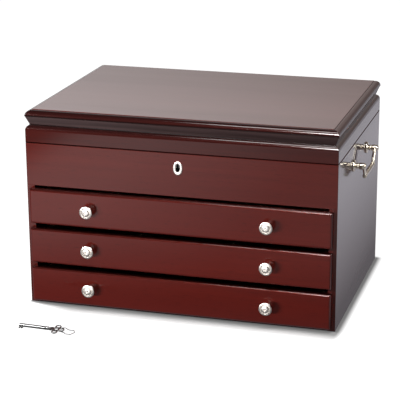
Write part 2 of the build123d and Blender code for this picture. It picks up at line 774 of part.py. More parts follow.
def screw(place, way):
    """Add one countersunk screw along Z, with its flat head at a place facing up (1) or down (-1)."""
    with BuildSketch(Plane(origin=place, x_dir=(1, 0, 0), z_dir=(0, -way, 0))) as half:
        with BuildLine():
            Polyline((0, 0), (screw_head_radius, 0), (screw_shank_radius, -screw_head_depth),
                     (screw_shank_radius, -screw_length + screw_shank_radius), (0, -screw_length), close=True)
        make_face()
    revolve(half.sketch, axis=Axis(place, (0, 0, 1)))


with BuildPart() as case_screws:
    for x, y in screw_places() + [(x, plate_y) for x in lock_screw_places]:
        screw((x, y, carcase_top), 1)
save(case_screws.part, "case_screws")

with BuildPart() as lid_screws:
    for x, y in screw_places() + [(x, plate_y) for x in lock_screw_places]:
        screw((x, y, lid_bottom), -1)
save(lid_screws.part, "lid_screws")


# Drawers: a lipped front whose inner block enters the carcase, sides let into the block, a
# raised back standing on the bottom, and the bottom held in grooves
def drawer_front(index):
    """Lipped front board of one drawer."""
    level = running_level(index)
    low = level + running_clearance
    face_low = level - front_drop
    groove_low = low + bottom_rise
    with BuildPart() as front:
        block((-front_width / 2, face_y, face_low), (front_width / 2, block_front, face_low + front_height))
        fillet(front.faces().sort_by(Axis.Y)[0].edges(), front_edge_radius)
        block((-drawer_half_width, block_front, low),
              (drawer_half_width, block_rear, low + drawer_side_height))
        for side in (-1, 1):
            x_low, x_high = sorted((side * drawer_inner_half, side * (drawer_half_width + cut_overrun)))
            block((x_low, block_rear - side_rabbet, low - cut_overrun),
                  (x_high, block_rear + cut_overrun, low + drawer_side_height + cut_overrun),
                  mode=Mode.SUBTRACT)
        block((-drawer_inner_half - bottom_groove, block_rear - side_rabbet, groove_low - joint_clearance),
              (drawer_inner_half + bottom_groove, block_rear + cut_overrun,
               groove_low + bottom_thickness + joint_clearance), mode=Mode.SUBTRACT)
        for place in knob_places(index):
            drill = Plane(origin=place, x_dir=(1, 0, 0), z_dir=(0, 1, 0))
            with BuildSketch(drill):
                Circle(knob_screw_radius + screw_bore_clearance)
            extrude(amount=front_lip + front_block, mode=Mode.SUBTRACT)
            with BuildSketch(drill.offset(front_lip + front_block)):
                Circle(knob_screw_head_radius + lock_clearance)
            extrude(amount=-counterbore_depth, mode=Mode.SUBTRACT)
    return front.part


def drawer_sides(index):
    """Both side boards of one drawer, each with a groove for the bottom."""
    low = running_level(index) + running_clearance
    groove_low = low + bottom_rise
    with BuildPart() as sides:
        for side in (-1, 1):
            x_low, x_high = sorted((side * drawer_inner_half, side * drawer_half_width))
            block((x_low, block_rear - side_rabbet, low), (x_high, drawer_rear, low + drawer_side_height))
            x_low, x_high = sorted((side * (drawer_inner_half - cut_overrun),
                                    side * (drawer_inner_half + bottom_groove)))
            block((x_low, block_rear - side_rabbet - cut_overrun, groove_low - joint_clearance),
                  (x_high, drawer_rear + cut_overrun, groove_low + bottom_thickness + joint_clearance),
                  mode=Mode.SUBTRACT)
    return sides.part


def drawer_back(index):
    """Raised back board of one drawer, which meets the stop block."""
    low = running_level(index) + running_clearance
    with BuildPart() as back:
        block((-drawer_inner_half, drawer_back_front, low + bottom_rise + bottom_thickness),
              (drawer_inner_half, drawer_rear, low + drawer_back_height))
        fillet(back.faces().sort_by(Axis.Z)[-1].edges().filter_by(Axis.X), back_edge_radius)
    return back.part


def drawer_bottom(index):
    """Thin bottom board, held in the grooves of the sides and the front."""
    floor = running_level(index) + running_clearance + bottom_rise
    half = drawer_inner_half + bottom_groove - joint_clearance
    with BuildPart() as bottom:
        block((-half, block_rear - side_rabbet + joint_clearance, floor),
              (half, drawer_rear, floor + bottom_thickness))
    return bottom.part


def drawer_lining(index):
    """Cloth-covered tray inside one drawer."""
    low = running_level(index) + running_clearance
    floor = low + bottom_rise + bottom_thickness
    with BuildPart() as lining:
        lining_tray(drawer_inner_half - lining_clearance, block_rear + lining_clearance,
                    drawer_back_front - lining_clearance, floor, low + drawer_side_height - lining_rim)
    return lining.part


def drawer_dividers(index, columns, rows):
    """Low partitions that split a lined drawer into columns across and rows from front to back."""
    low = running_level(index) + running_clearance + bottom_rise + bottom_thickness + lining_thickness
    half_x = drawer_inner_half - lining_clearance - lining_thickness
    front = block_rear + lining_clearance + lining_thickness
    rear = drawer_back_front - lining_clearance - lining_thickness
    row_pitch = (rear - front + divider_thickness) / rows
    column_pitch = (2 * half_x + divider_thickness) / columns
    with BuildPart() as dividers:
        for row in range(rows):
            start = front + row * row_pitch
            end = start + row_pitch - divider_thickness
            if row:
                block((-half_x, start - divider_thickness, low), (half_x, start, low + divider_height))
            for column in range(1, columns):
                x = -half_x + column * column_pitch
                block((x - divider_thickness, start, low), (x, end, low + divider_height))
    return dividers.part


def drawer_knobs(index):
    """Two turned knobs: a foot, a flared neck, a rim, a groove and a domed disc with a dimple."""
    bore_radius = knob_screw_radius + screw_bore_clearance
    with BuildPart() as knobs:
        for x, y, z in knob_places(index):
            with BuildSketch(Plane(origin=(x, y, z), x_dir=(1, 0, 0), z_dir=(0, 0, 1))):
                with BuildLine():
                    Polyline((bore_radius, 0), (knob_foot_radius, 0), (knob_foot_radius, -knob_foot_height),
                             (knob_neck_radius, -knob_neck_low), (knob_neck_radius, -knob_neck_high))
                    ThreePointArc((knob_neck_radius, -knob_neck_high),
                                  (knob_flare_radius, -knob_flare_height), (knob_radius, -knob_rim_low))
                    Polyline((knob_radius, -knob_rim_low), (knob_radius, -knob_rim_high),
                             (knob_crest_radius, -knob_crest_height),
                             (knob_groove_radius, -knob_groove_height), (knob_disc_radius, -knob_disc_low))
                    ThreePointArc((knob_disc_radius, -knob_disc_low),
                                  (knob_disc_shoulder[0], -knob_disc_shoulder[1]),
                                  (knob_dimple_radius, -knob_projection))
                    Polyline((knob_dimple_radius, -knob_projection),
                             (0, -knob_projection + knob_dimple_depth), (0, -knob_screw_depth),
                             (bore_radius, -knob_screw_depth), (bore_radius, 0))
                make_face()
            revolve(axis=Axis((x, y, z), (0, 1, 0)))
    return knobs.part


def drawer_knob_screws(index):
    """Machine screws that hold the knobs from inside the drawer front."""
    grip = front_lip + front_block - counterbore_depth
    head_top = grip + knob_screw_head_height
    tip = -knob_screw_depth + joint_clearance
    with BuildPart() as screws:
        for x, y, z in knob_places(index):
            with BuildSketch(Plane(origin=(x, y, z), x_dir=(1, 0, 0), z_dir=(0, 0, 1))):
                with BuildLine():
                    Polyline((0, tip), (knob_screw_radius, tip), (knob_screw_radius, grip),
                             (knob_screw_head_radius, grip),
                             (knob_screw_head_radius, head_top - knob_screw_head_bevel),
                             (knob_screw_head_radius - knob_screw_head_bevel, head_top), (0, head_top),
                             close=True)
                make_face()
            revolve(axis=Axis((x, y, z), (0, 1, 0)))
    return screws.part


# Columns across and rows from front to back, from the lowest drawer up
drawer_layouts = ((1, 2), (3, 1), (4, 2))
for index in range(drawer_count):
    columns, rows = drawer_layouts[index % len(drawer_layouts)]
    name = f"drawer_{drawer_count - index}"
    save(drawer_front(index), f"{name}_front")
    save(drawer_sides(index), f"{name}_sides")
    save(drawer_back(index), f"{name}_back")
    save(drawer_bottom(index), f"{name}_bottom")
    save(drawer_lining(index), f"{name}_lining")
    save(drawer_dividers(index, columns, rows), f"{name}_dividers")
    save(drawer_knobs(index), f"{name}_knobs")
    save(drawer_knob_screws(index), f"{name}_knob_screws")


# Side handles: turned posts bolted through the side panel, and a bail with a spindle grip
def handle_posts(side):
    """Two turned posts on the left (-1) or right (+1) side: a rosette, a bead and a bored ball."""
    ball_start = pivot_projection - sqrt(post_ball_radius ** 2 - ball_neck_radius ** 2)
    ball_tip = pivot_projection + post_ball_radius
    shank_end = post_shank_short - panel_thickness
    bead_end = bead_start + bead_width + 2 * bead_slope
    with BuildPart() as posts:
        for y in (-post_spacing / 2, post_spacing / 2):
            foot = Plane(origin=(side * half_width, y, post_height), x_dir=(side, 0, 0), z_dir=(0, 1, 0))
            with BuildSketch(foot):
                with BuildLine():
                    Polyline((shank_end, 0), (shank_end, post_shank_radius), (0, post_shank_radius),
                             (0, rosette_radius), (rosette_edge, rosette_radius))
                    ThreePointArc((rosette_edge, rosette_radius),
                                  ((rosette_edge + rosette_rise) / 2 + rosette_bulge,
                                   (rosette_radius + rosette_step_radius) / 2),
                                  (rosette_rise, rosette_step_radius))
                    Polyline((rosette_rise, rosette_step_radius), (post_neck_start, post_neck_radius),
                             (bead_start, post_neck_radius), (bead_start + bead_slope, bead_radius),
                             (bead_end - bead_slope, bead_radius), (bead_end, post_neck_radius),
                             (ball_start, ball_neck_radius))
                    ThreePointArc((ball_start, ball_neck_radius), (pivot_projection, post_ball_radius),
                                  (ball_tip, 0))
                    Line((ball_tip, 0), (shank_end, 0))
                make_face()
            revolve(axis=Axis(foot.origin, (side, 0, 0)))
        pivot_x = side * (half_width + pivot_projection)
        bore = Plane(origin=(pivot_x, 0, post_height), x_dir=(1, 0, 0), z_dir=(0, 1, 0))
        with BuildSketch(bore):
            Circle(bail_pin_radius + bail_pin_clearance)
        extrude(amount=post_spacing, both=True, mode=Mode.SUBTRACT)
    return posts.part


def bail(side):
    """Swing handle hanging from its posts: pins, bent arms, and a spindle grip with end collars."""
    x = side * (half_width + pivot_projection)
    bend_y = post_spacing / 2 - post_ball_radius - bail_side_gap - bail_arm_radius
    pin_length = 2 * (post_ball_radius + bail_side_gap) + bail_arm_radius
    grip_z = post_height - bail_drop
    groove_start = grip_half_length - grip_collar_width
    spindle_half = groove_start - grip_groove_width
    half_grip = [(grip_half_length, 0), (grip_half_length, grip_end_radius),
                 (grip_half_length - grip_groove_slope, grip_collar_radius),
                 (groove_start, grip_collar_radius), (groove_start - grip_groove_slope, grip_groove_radius),
                 (spindle_half + grip_groove_slope, grip_groove_radius), (spindle_half, grip_end_radius)]
    with BuildPart() as handle:
        for way in (-1, 1):
            top = Vector(x, way * bend_y, post_height)
            low = Vector(x, way * bail_arm_foot, grip_z)
            with BuildSketch(Plane(origin=top, z_dir=low - top)):
                Circle(bail_arm_radius)
            extrude(amount=(low - top).length)
            with Locations(top):
                Sphere(bail_arm_radius)
            pin = Plane(origin=top, x_dir=(1, 0, 0), z_dir=(0, way, 0))
            with BuildSketch(pin):
                Circle(bail_pin_radius)
            extrude(amount=pin_length)
            with BuildSketch(pin.offset(pin_length)):
                Circle(bail_pin_head_radius)
            extrude(amount=bail_pin_head_thickness)
        with BuildSketch(Plane(origin=(x, 0, grip_z), x_dir=(0, 1, 0), z_dir=(1, 0, 0))):
            with BuildLine():
                Polyline(*[(-along, out) for along, out in half_grip])
                ThreePointArc((-spindle_half, grip_end_radius), (0, grip_radius),
                              (spindle_half, grip_end_radius))
                Polyline(*reversed(half_grip))
                Line((grip_half_length, 0), (-grip_half_length, 0))
            make_face()
        revolve(axis=Axis((x, 0, grip_z), (0, 1, 0)))
    return handle.part


save(handle_posts(-1), "handle_posts_left")
save(handle_posts(1), "handle_posts_right")
save(bail(-1), "bail_left")
save(bail(1), "bail_right")

with BuildPart() as post_nuts:
    for side in (-1, 1):
        for y in (-post_spacing / 2, post_spacing / 2):
            seat_x = side * (inner_half_width + nut_thickness)
            seat = Plane(origin=(seat_x, y, post_height), z_dir=(-side, 0, 0))
            with BuildSketch(seat):
                RegularPolygon(nut_radius, 6)
                Circle(post_shank_radius + screw_clearance, mode=Mode.SUBTRACT)
            extrude(amount=nut_thickness)
save(post_nuts.part, "post_nuts")

# Key, resting on its bit and on the lower edge of its bow: a hollow shaft with a collar, a
# stepped bit and a pierced, lobed bow
turn, roll = radians(key_turn), radians(key_roll)
key_plane = Plane(origin=(key_tip_x, key_y, key_axis_height), x_dir=(cos(turn), sin(turn), 0),
                  z_dir=(sin(turn) * sin(roll), -cos(turn) * sin(roll), cos(roll)))
bow_centre = key_shaft_length + bow_lobe_offset + bow_lobe_radius - bow_overlap
lobe_places = [polar_point((bow_centre, 0), bow_lobe_offset, angle) for angle in (0, 90, 180, 270)]
bit_start = key_bit_offset
bit_end = key_bit_offset + key_bit_width
bit_reach = -key_shaft_radius - key_bit_reach
slot_floor = -key_shaft_radius - key_bit_slot_floor
slot_start = bit_start + key_bit_step
slot_end = slot_start + key_bit_slot
with BuildPart() as key:
    shaft_plane = Plane(origin=key_plane.origin, x_dir=key_plane.y_dir, z_dir=key_plane.x_dir)
    with BuildSketch(shaft_plane):
        Circle(key_shaft_radius)
    extrude(amount=key_shaft_length)
    for distance in key_collar_places:
        with BuildSketch(shaft_plane.offset(distance)):
            Circle(key_collar_radius)
        extrude(amount=key_collar_width)
    with BuildSketch(key_plane.offset(-key_bit_thickness / 2)):
        with BuildLine():
            Polyline((bit_start, 0), (bit_start, bit_reach), (slot_start, bit_reach),
                     (slot_start, slot_floor), (slot_end, slot_floor), (slot_end, bit_reach),
                     (bit_end, bit_reach), (bit_end, 0), close=True)
        make_face()
    extrude(amount=key_bit_thickness)
    with BuildSketch(key_plane.offset(-bow_thickness / 2)):
        with Locations(*lobe_places):
            Circle(bow_lobe_radius)
        with Locations((bow_centre, 0)):
            Circle(bow_centre_radius)
        with Locations(*lobe_places[:2], lobe_places[3]):
            Circle(bow_hole_radius, mode=Mode.SUBTRACT)
        with Locations((bow_centre, 0)):
            Circle(bow_centre_hole, mode=Mode.SUBTRACT)
    extrude(amount=bow_thickness)
    with BuildSketch(shaft_plane):
        Circle(key_bore_radius)
    extrude(amount=key_bore_depth, mode=Mode.SUBTRACT)
save(key.part, "key")

# Wire ring with butted ends: it comes up through the bow's end lobe, goes over the rim and
# back under it along the floor
end_lobe = key_plane.from_local_coords(Vector(*lobe_places[0], 0))
rim_x = end_lobe.X + bow_lobe_radius
rim_rise = bow_lobe_radius * sin(roll)
over_z = end_lobe.Z + bow_thickness / 2 + rim_rise + ring_wire_radius + ring_clearance
low_z = ring_wire_radius + ring_floor_gap
far_x = end_lobe.X + ring_length
ring_left = end_lobe.Y + ring_width / 2
ring_right = end_lobe.Y - ring_width / 2
ring_points = [
    (far_x, end_lobe.Y + ring_end_gap / 2, low_z),
    (far_x - ring_corner, ring_left, low_z),
    (rim_x + ring_near_corner, ring_left, low_z),
    (rim_x + ring_side_step, end_lobe.Y + ring_cross, over_z),
    (end_lobe.X, end_lobe.Y + ring_over_offset, over_z),
    (end_lobe.X + ring_through[0], end_lobe.Y + ring_through[1], low_z),
    (rim_x + ring_side_step, end_lobe.Y - ring_cross, low_z),
    (rim_x + ring_near_corner, ring_right, low_z),
    (far_x - ring_corner, ring_right, low_z),
    (far_x, end_lobe.Y - ring_end_gap / 2, low_z),
]
with BuildPart() as key_ring:
    with BuildLine() as loop:
        FilletPolyline(*ring_points, radius=ring_bend_radius)
    with BuildSketch(Plane(origin=loop.line @ 0, z_dir=loop.line % 0)):
        Circle(ring_wire_radius)
    sweep(path=loop.line)
save(key_ring.part, "key_ring")
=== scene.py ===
# %% [markdown]
# # A locking jewellery chest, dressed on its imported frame
#
# The chest is a lacquered mahogany box with a moulded lid, three lipped drawers, turned knobs, a
# small lock, two swing handles and a key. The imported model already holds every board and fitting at
# its real size. This lesson gives those pieces their finishes, and makes finer surfaces for the
# fittings and soft parts that the eye rests on. All lengths are in metres, and the chest faces -Y.

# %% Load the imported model
from math import cos, pi, radians, sin

import bmesh
import bpy
import numpy as np
from mathutils import Matrix, Vector


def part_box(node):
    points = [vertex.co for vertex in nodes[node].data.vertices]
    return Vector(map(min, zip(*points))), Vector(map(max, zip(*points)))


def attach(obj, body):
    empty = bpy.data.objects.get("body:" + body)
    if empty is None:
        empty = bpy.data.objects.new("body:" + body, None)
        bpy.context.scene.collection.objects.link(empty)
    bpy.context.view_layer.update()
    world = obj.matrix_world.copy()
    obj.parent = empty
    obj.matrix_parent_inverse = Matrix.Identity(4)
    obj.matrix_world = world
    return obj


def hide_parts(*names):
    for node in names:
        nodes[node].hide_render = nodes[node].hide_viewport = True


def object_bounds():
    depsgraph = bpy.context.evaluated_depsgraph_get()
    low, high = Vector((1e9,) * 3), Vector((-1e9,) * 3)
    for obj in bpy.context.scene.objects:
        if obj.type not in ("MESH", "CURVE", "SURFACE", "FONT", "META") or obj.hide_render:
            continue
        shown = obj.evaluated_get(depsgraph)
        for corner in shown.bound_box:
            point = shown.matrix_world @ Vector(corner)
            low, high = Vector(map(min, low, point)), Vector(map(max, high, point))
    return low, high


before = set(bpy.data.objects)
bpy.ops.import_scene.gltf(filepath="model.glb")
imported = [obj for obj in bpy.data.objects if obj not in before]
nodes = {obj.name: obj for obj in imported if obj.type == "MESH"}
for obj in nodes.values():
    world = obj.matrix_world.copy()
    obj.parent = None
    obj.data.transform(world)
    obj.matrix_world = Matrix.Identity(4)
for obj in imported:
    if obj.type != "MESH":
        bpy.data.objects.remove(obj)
bpy.context.view_layer.update()
cad_box = [list(corner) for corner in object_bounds()]
mm = 0.001
print("pieces in the frame:", len(nodes), "box:", cad_box)

# %% [markdown]
# ## The camera
#
# A picture fixes the camera as soon as a few corners of a box are known in it. Fitting the chest's
# corners gave the direction, the height, the distance and the lens below, with a small roll. A long
# lens from two metres away keeps the uprights nearly parallel, as a catalogue photographer likes.

# %% Place the camera
camera_azimuth = radians(16.400)
camera_elevation = radians(17.409)
camera_roll = radians(-0.347)
camera_place = Vector((0.533284, -1.856469, 0.717209))
picture_width = 400.0
focal_pixels = 1526.11
sensor_width = 36.0

back = Vector((sin(camera_azimuth) * cos(camera_elevation),
               -cos(camera_azimuth) * cos(camera_elevation), sin(camera_elevation)))
level_right = Vector((0, 0, 1)).cross(back).normalized()
level_up = back.cross(level_right)
right = level_right * cos(camera_roll) + level_up * sin(camera_roll)
up = level_up * cos(camera_roll) - level_right * sin(camera_roll)

camera_data = bpy.data.cameras.new("catalogue_camera")
camera_data.sensor_width = sensor_width
camera_data.lens = focal_pixels / picture_width * sensor_width
camera = bpy.data.objects.new("catalogue_camera", camera_data)
camera.matrix_world = Matrix((
    (right.x, up.x, back.x, camera_place.x), (right.y, up.y, back.y, camera_place.y),
    (right.z, up.z, back.z, camera_place.z), (0, 0, 0, 1)))
bpy.context.scene.collection.objects.link(camera)
bpy.context.scene.camera = camera
print("lens:", round(camera_data.lens, 1), "mm")

# %% [markdown]
# ## Building node materials
#
# A material is a small graph of nodes. A few helpers keep the graphs short to write. One starts a
# material and hands back its shader, one adds a node and connects its sockets in a single line, and
# the rest put the nodes that are used most into plain words.

# %% Helpers for node graphs
def new_material(name, **constants):
    """Start a material, set constants on its shader's own sockets, and return the tree and shader."""
    made = bpy.data.materials.new(name)
    made.use_nodes = True
    shader = made.node_tree.nodes["Principled BSDF"]
    for socket, value in constants.items():
        shader.inputs[socket.replace("_", " ")].default_value = value
    return made, made.node_tree, shader


def add(tree, kind, inputs=None, **settings):
    """Add one node: settings are its options, and inputs are numbers, colours or other sockets."""
    made = tree.nodes.new("ShaderNode" + kind)
    for option, value in settings.items():
        setattr(made, option, value)
    for socket, value in (inputs or {}).items():
        if isinstance(value, bpy.types.NodeSocket):
            tree.links.new(value, made.inputs[socket])
        else:
            made.inputs[socket].default_value = value
    return made


def calc(tree, operation, *values):
    """One step of arithmetic on numbers or sockets, such as ADD, MULTIPLY or MAXIMUM."""
    return add(tree, "Math", dict(enumerate(values)), operation=operation).outputs[0]


def mix_colour(tree, amount, first, second, blend="MIX"):
    """Blend two colours by an amount from 0 to 1."""
    made = add(tree, "Mix", {0: amount, 6: first, 7: second}, data_type="RGBA", blend_type=blend)
    return made.outputs[2]


def mix_number(tree, amount, first, second):
    """First times one less the amount, plus second times the amount."""
    return add(tree, "Mix", {0: amount, 2: first, 3: second}).outputs[0]


def remap(tree, value, low, high, to_low=0.0, to_high=1.0):
    """Stretch the range low..high of a value onto to_low..to_high, cut off outside it."""
    made = add(tree, "MapRange", {0: value, 1: low, 2: high, 3: to_low, 4: to_high})
    return made.outputs[0]


def own_place(tree):
    """The X, Y and Z sockets of a point in its piece's own coordinates."""
    return add(tree, "SeparateXYZ", {0: add(tree, "TexCoord").outputs["Object"]}).outputs


def stretched_noise(tree, scale, stretch, detail=4.0, distortion=0.0):
    """Noise on the piece's own coordinates, drawn out along the axes whose stretch is small."""
    place = add(tree, "TexCoord").outputs["Object"]
    moved = add(tree, "Mapping", {"Vector": place, "Scale": stretch}).outputs[0]
    made = add(tree, "TexNoise", {"Vector": moved, "Scale": scale, "Detail": detail,
                                  "Distortion": distortion})
    return made.outputs["Fac"]


# %% [markdown]
# ## Lacquered mahogany
#
# The wood is stained dark red and sprayed with clear lacquer. Three things make it read as wood and
# not as plastic: broad cloudy bands from the stain, fine streaks that run along each board, and
# short dark pores. Each gets a colour and a scale here, as a finisher mixes stains before the work.

# %% Stains and scales
stain_dark = (0.045, 0.0050, 0.0040, 1)
stain_mid = (0.070, 0.0075, 0.0056, 1)
stain_red = (0.105, 0.0110, 0.0075, 1)
pore_dark = (0.025, 0.0040, 0.0036, 1)
# painted shade colour, used on the moulding and along the drawers' top edges
painted_shade_dark = (0.011, 0.0035, 0.0035, 1)
fibre_glow = (1.0, 0.11, 0.075, 1)
# painted greyish reflection of the pale floor, for the moulding's bevel
painted_reflection_grey = (0.088, 0.050, 0.050, 1)
# black painted shade, for the moulding's quirks and the seam
painted_shade_black = (0.003, 0.0015, 0.0015, 1)

cloud_scale, streak_scale, pore_scale = 9.0, 210.0, 900.0
cloud_range, streak_range = (0.30, 0.70), (0.35, 0.65)
print("the stain's red runs from", stain_dark[0], "to", stain_red[0])

# %% [markdown]
# Shade and reflection are painted into the wood's colour in a few places. Painted shade darkens the drawers'
# top edges and the moulding, and painted black shade fills the moulding's two quirks, where shadow falls.
# The bevel between the quirks gets a painted greyish reflection of the pale floor. The seam between the lid
# and the carcase is painted black as a shadow line, and its lacquer coat is left off.
# All these places are level bands, so a height and two distances from it say where each one lies.

# %% Places of painted shade and painted reflection
drawer_numbers = (1, 2, 3)
drawer_tops = [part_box(f"drawer_{n}_front")[1].z for n in drawer_numbers]
seam_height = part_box("lid_front_rail")[0].z
apron_height = 15.5 * mm
moulding_foot = seam_height + apron_height
shade_fade = 3 * mm
bevel_middle = moulding_foot + 13.0 * mm
quirks = (moulding_foot + 7.0 * mm, moulding_foot + 18.8 * mm)

# Each band is full up to the first distance from its height, and ends at the second.
edge_shade_band = (1.5 * mm, 2.5 * mm)
bevel_band = (5.0 * mm, 5.5 * mm)
quirk_band = (0.5 * mm, 1.0 * mm)
seam_band = (0.8 * mm, 1.2 * mm)
# shares of painted shade: at the moulding's foot, along the drawers' top edges, and in the quirks
shade_at_foot, edge_shade, quirk_shade = 0.35, 0.9, 0.95


def near_height(tree, height, level, band, share=1.0):
    """The share within a band's first distance of a level, falling to none at its second."""
    off = calc(tree, "ABSOLUTE", calc(tree, "SUBTRACT", height, level))
    return remap(tree, off, *band, share, 0.0)


def moulding_painted_shade(tree, body, height, streaks, moulding_shade):
    """Painted shade that deepens above the foot, then a painted grey reflection on the bevel, then painted
    black shade in the two quirks.
    """
    shade_share = remap(tree, height, moulding_foot, moulding_foot + shade_fade, shade_at_foot, moulding_shade)
    body = mix_colour(tree, shade_share, body, painted_shade_dark)
    # painted reflection of the pale floor on the bevel, streaked with painted shade
    streaked_reflection = mix_colour(tree, remap(tree, streaks, *streak_range, 0.0, 0.6), painted_reflection_grey, painted_shade_dark)
    body = mix_colour(tree, near_height(tree, height, bevel_middle, bevel_band), body, streaked_reflection)
    for quirk in quirks:
        # painted black shade in the quirk, where shadow falls
        quirk_shade_share = near_height(tree, height, quirk, quirk_band, quirk_shade)
        body = mix_colour(tree, quirk_shade_share, body, painted_shade_black)
    return body


print("the seam is", round(seam_height / mm, 1), "mm up and the bevel", round(bevel_middle / mm, 1))

# %% [markdown]
# The lacquer is a clear coat, so it is set on the shader's coat sockets. The stained fibres below
# glow red where light rakes over them, which the tint of the base gloss stands for. Grain runs along
# each board, so the noise is drawn out along one axis, and boards that lie another way get another
# material. A Bevel node eases the sharp edges of the boards as sandpaper does.

# %% Mahogany for either grain direction
eased_edge = 0.0007


def mahogany(name, along, glow=0.12, redness=1.0, dark_edges=(), moulding_shade=None):
    """Stained mahogany under satin lacquer, with its grain along X, Y or Z.

    Clouds, streaks and pores are mixed one over the other. Dark edges are heights that get a band of painted
    shade, and the last argument is how much painted shade covers the moulding. The seam is painted black as
    a shadow line, and lacquer is one less the seam's share.
    """
    made, tree, shader = new_material(name, Coat_Weight=1.0, Coat_Roughness=0.10, Coat_IOR=1.5,
                                      IOR=2.3, Specular_IOR_Level=glow, Specular_Tint=fibre_glow)
    drawn_out = tuple(0.12 if axis == along else 1.0 for axis in "XYZ")
    hair_thin = tuple(0.03 if axis == along else 1.0 for axis in "XYZ")
    clouds = stretched_noise(tree, cloud_scale, drawn_out, detail=3.0, distortion=0.6)
    streaks = stretched_noise(tree, streak_scale, hair_thin, detail=5.0)
    pores = stretched_noise(tree, pore_scale, drawn_out, detail=2.0)
    height = own_place(tree)["Z"]

    body = mix_colour(tree, remap(tree, clouds, *cloud_range), stain_dark, stain_red)
    body = mix_colour(tree, remap(tree, streaks, *streak_range, 0.15, 0.75), body, stain_mid)
    body = mix_colour(tree, 1.0, body, (redness, 0.7 + 0.3 * redness, 1.0, 1), "MULTIPLY")
    body = mix_colour(tree, remap(tree, pores, 0.60, 0.72, 0.0, 0.40), body, pore_dark)
    # painted shade along each drawer front's top edge, under the gap
    for edge in dark_edges:
        edge_shade_share = near_height(tree, height, edge, edge_shade_band, edge_shade)
        body = mix_colour(tree, edge_shade_share, body, painted_shade_dark)
    # painted shade over the moulding, with its painted bevel reflection and painted quirk shade
    if moulding_shade:
        body = moulding_painted_shade(tree, body, height, streaks, moulding_shade)
    # painted black shadow line along the lid's seam; the coat is left off there and the roughness raised
    seam_shade = near_height(tree, height, seam_height, seam_band)
    tree.links.new(mix_colour(tree, seam_shade, body, painted_shade_black), shader.inputs["Base Color"])

    dulled = calc(tree, "MAXIMUM", remap(tree, clouds, *cloud_range, 0.46, 0.38), seam_shade)
    tree.links.new(dulled, shader.inputs["Roughness"])
    tree.links.new(calc(tree, "SUBTRACT", 1.0, seam_shade), shader.inputs["Coat Weight"])
    eased = add(tree, "Bevel", {"Radius": eased_edge}, samples=6).outputs[0]
    ripple = add(tree, "Bump", {"Height": pores, "Strength": 0.06, "Distance": 0.0002, "Normal": eased})
    tree.links.new(ripple.outputs[0], shader.inputs["Normal"])
    tree.links.new(eased, shader.inputs["Coat Normal"])
    return made


wood_long = mahogany("mahogany_long_grain", "X")
# the drawer fronts carry painted shade along their top edges
wood_drawer = mahogany("mahogany_drawer_fronts", "X", 0.08, 1.6, drawer_tops)
wood_deep = mahogany("mahogany_side_grain", "Y")
# the rails' moulding carries painted shade, heavier on the front and back rails than on the side rails
rim_long = mahogany("mahogany_rim_long_grain", "X", 0.02, moulding_shade=0.93)
rim_deep = mahogany("mahogany_rim_side_grain", "Y", 0.05, moulding_shade=0.5)
print("woods:", wood_long.name, wood_drawer.name, wood_deep.name, rim_long.name, rim_deep.name)

# %% [markdown]
# ## Finishing the boards
#
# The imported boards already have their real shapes, mitres and rounded edges, so they keep their
# meshes and only change their finish. Boards that run from left to right take the long grain, and
# the two sides and the lid's side rails take the deep grain.

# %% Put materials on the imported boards
def dress(material, *names):
    """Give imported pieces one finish, whole."""
    for name in names:
        for slot in nodes[name].material_slots:
            slot.material = material
    print(material.name, "covers", ", ".join(names))


drawer_fronts = [f"drawer_{n}_front" for n in drawer_numbers]
dress(wood_deep, "side_panel_left", "side_panel_right")
dress(wood_long, "back_panel", "upper_front_panel", "lid_top_panel", "base_panel")
dress(wood_drawer, *drawer_fronts)
dress(rim_long, "lid_front_rail", "lid_back_rail")
dress(rim_deep, "lid_side_rails")

# %% [markdown]
# ## Metals
#
# Plated metal is nearly all reflection, so its roughness matters more than its colour. Each metal
# gets small changes in roughness where fingers have been, and a faint waviness that keeps long
# reflections from looking drawn with a ruler. The knobs and the keyhole plate are satin nickel, which
# spreads a lamp over their whole face. The handles are of a shinier and warmer plating, the lock is of
# brushed steel, the key is of a darker nickel, and its ring is of darkened wire.

# %% Plated and brushed metals
even = (1.0, 1.0, 1.0)
touch_scale, wave_scale = 60.0, 900.0


def plated(name, colour, tarnish, smooth, dull, wave=0.02, brushed=even):
    """Metal whose colour and roughness drift between two values, over a faintly wavy surface."""
    made, tree, shader = new_material(name, Metallic=1.0)
    stains = stretched_noise(tree, touch_scale, brushed, detail=3.0)
    lines = stretched_noise(tree, wave_scale, brushed, detail=2.0)
    tree.links.new(mix_colour(tree, remap(tree, stains, 0.40, 0.75), colour, tarnish),
                   shader.inputs["Base Color"])
    tree.links.new(remap(tree, stains, 0.35, 0.70, smooth, dull), shader.inputs["Roughness"])
    bump = add(tree, "Bump", {"Height": lines, "Strength": wave, "Distance": 0.0001})
    tree.links.new(bump.outputs[0], shader.inputs["Normal"])
    return made


nickel = plated("satin_nickel", (0.78, 0.74, 0.70, 1), (0.70, 0.66, 0.62, 1), 0.42, 0.46, wave=0.0)
antique = plated("antique_nickel", (0.74, 0.68, 0.58, 1), (0.56, 0.49, 0.40, 1), 0.12, 0.20)
steel = plated("brushed_steel", (0.56, 0.56, 0.57, 1), (0.42, 0.42, 0.43, 1), 0.22, 0.38,
               wave=0.12, brushed=(0.03, 1.0, 1.0))
key_metal = plated("key_nickel", (0.28, 0.28, 0.28, 1), (0.20, 0.20, 0.20, 1), 0.20, 0.30)
ring_wire = plated("darkened_wire", (0.24, 0.24, 0.25, 1), (0.16, 0.16, 0.16, 1), 0.25, 0.40)
dress(nickel, "hinge_body_leaves", "hinge_lid_leaves", "hinge_pins", "strike_plate")
dress(steel, "lock_case", "lock_cover", "lock_bolt", "post_nuts", "case_screws", "lid_screws",
      *(f"drawer_{n}_knob_screws" for n in drawer_numbers))
dress(ring_wire, "key_ring")

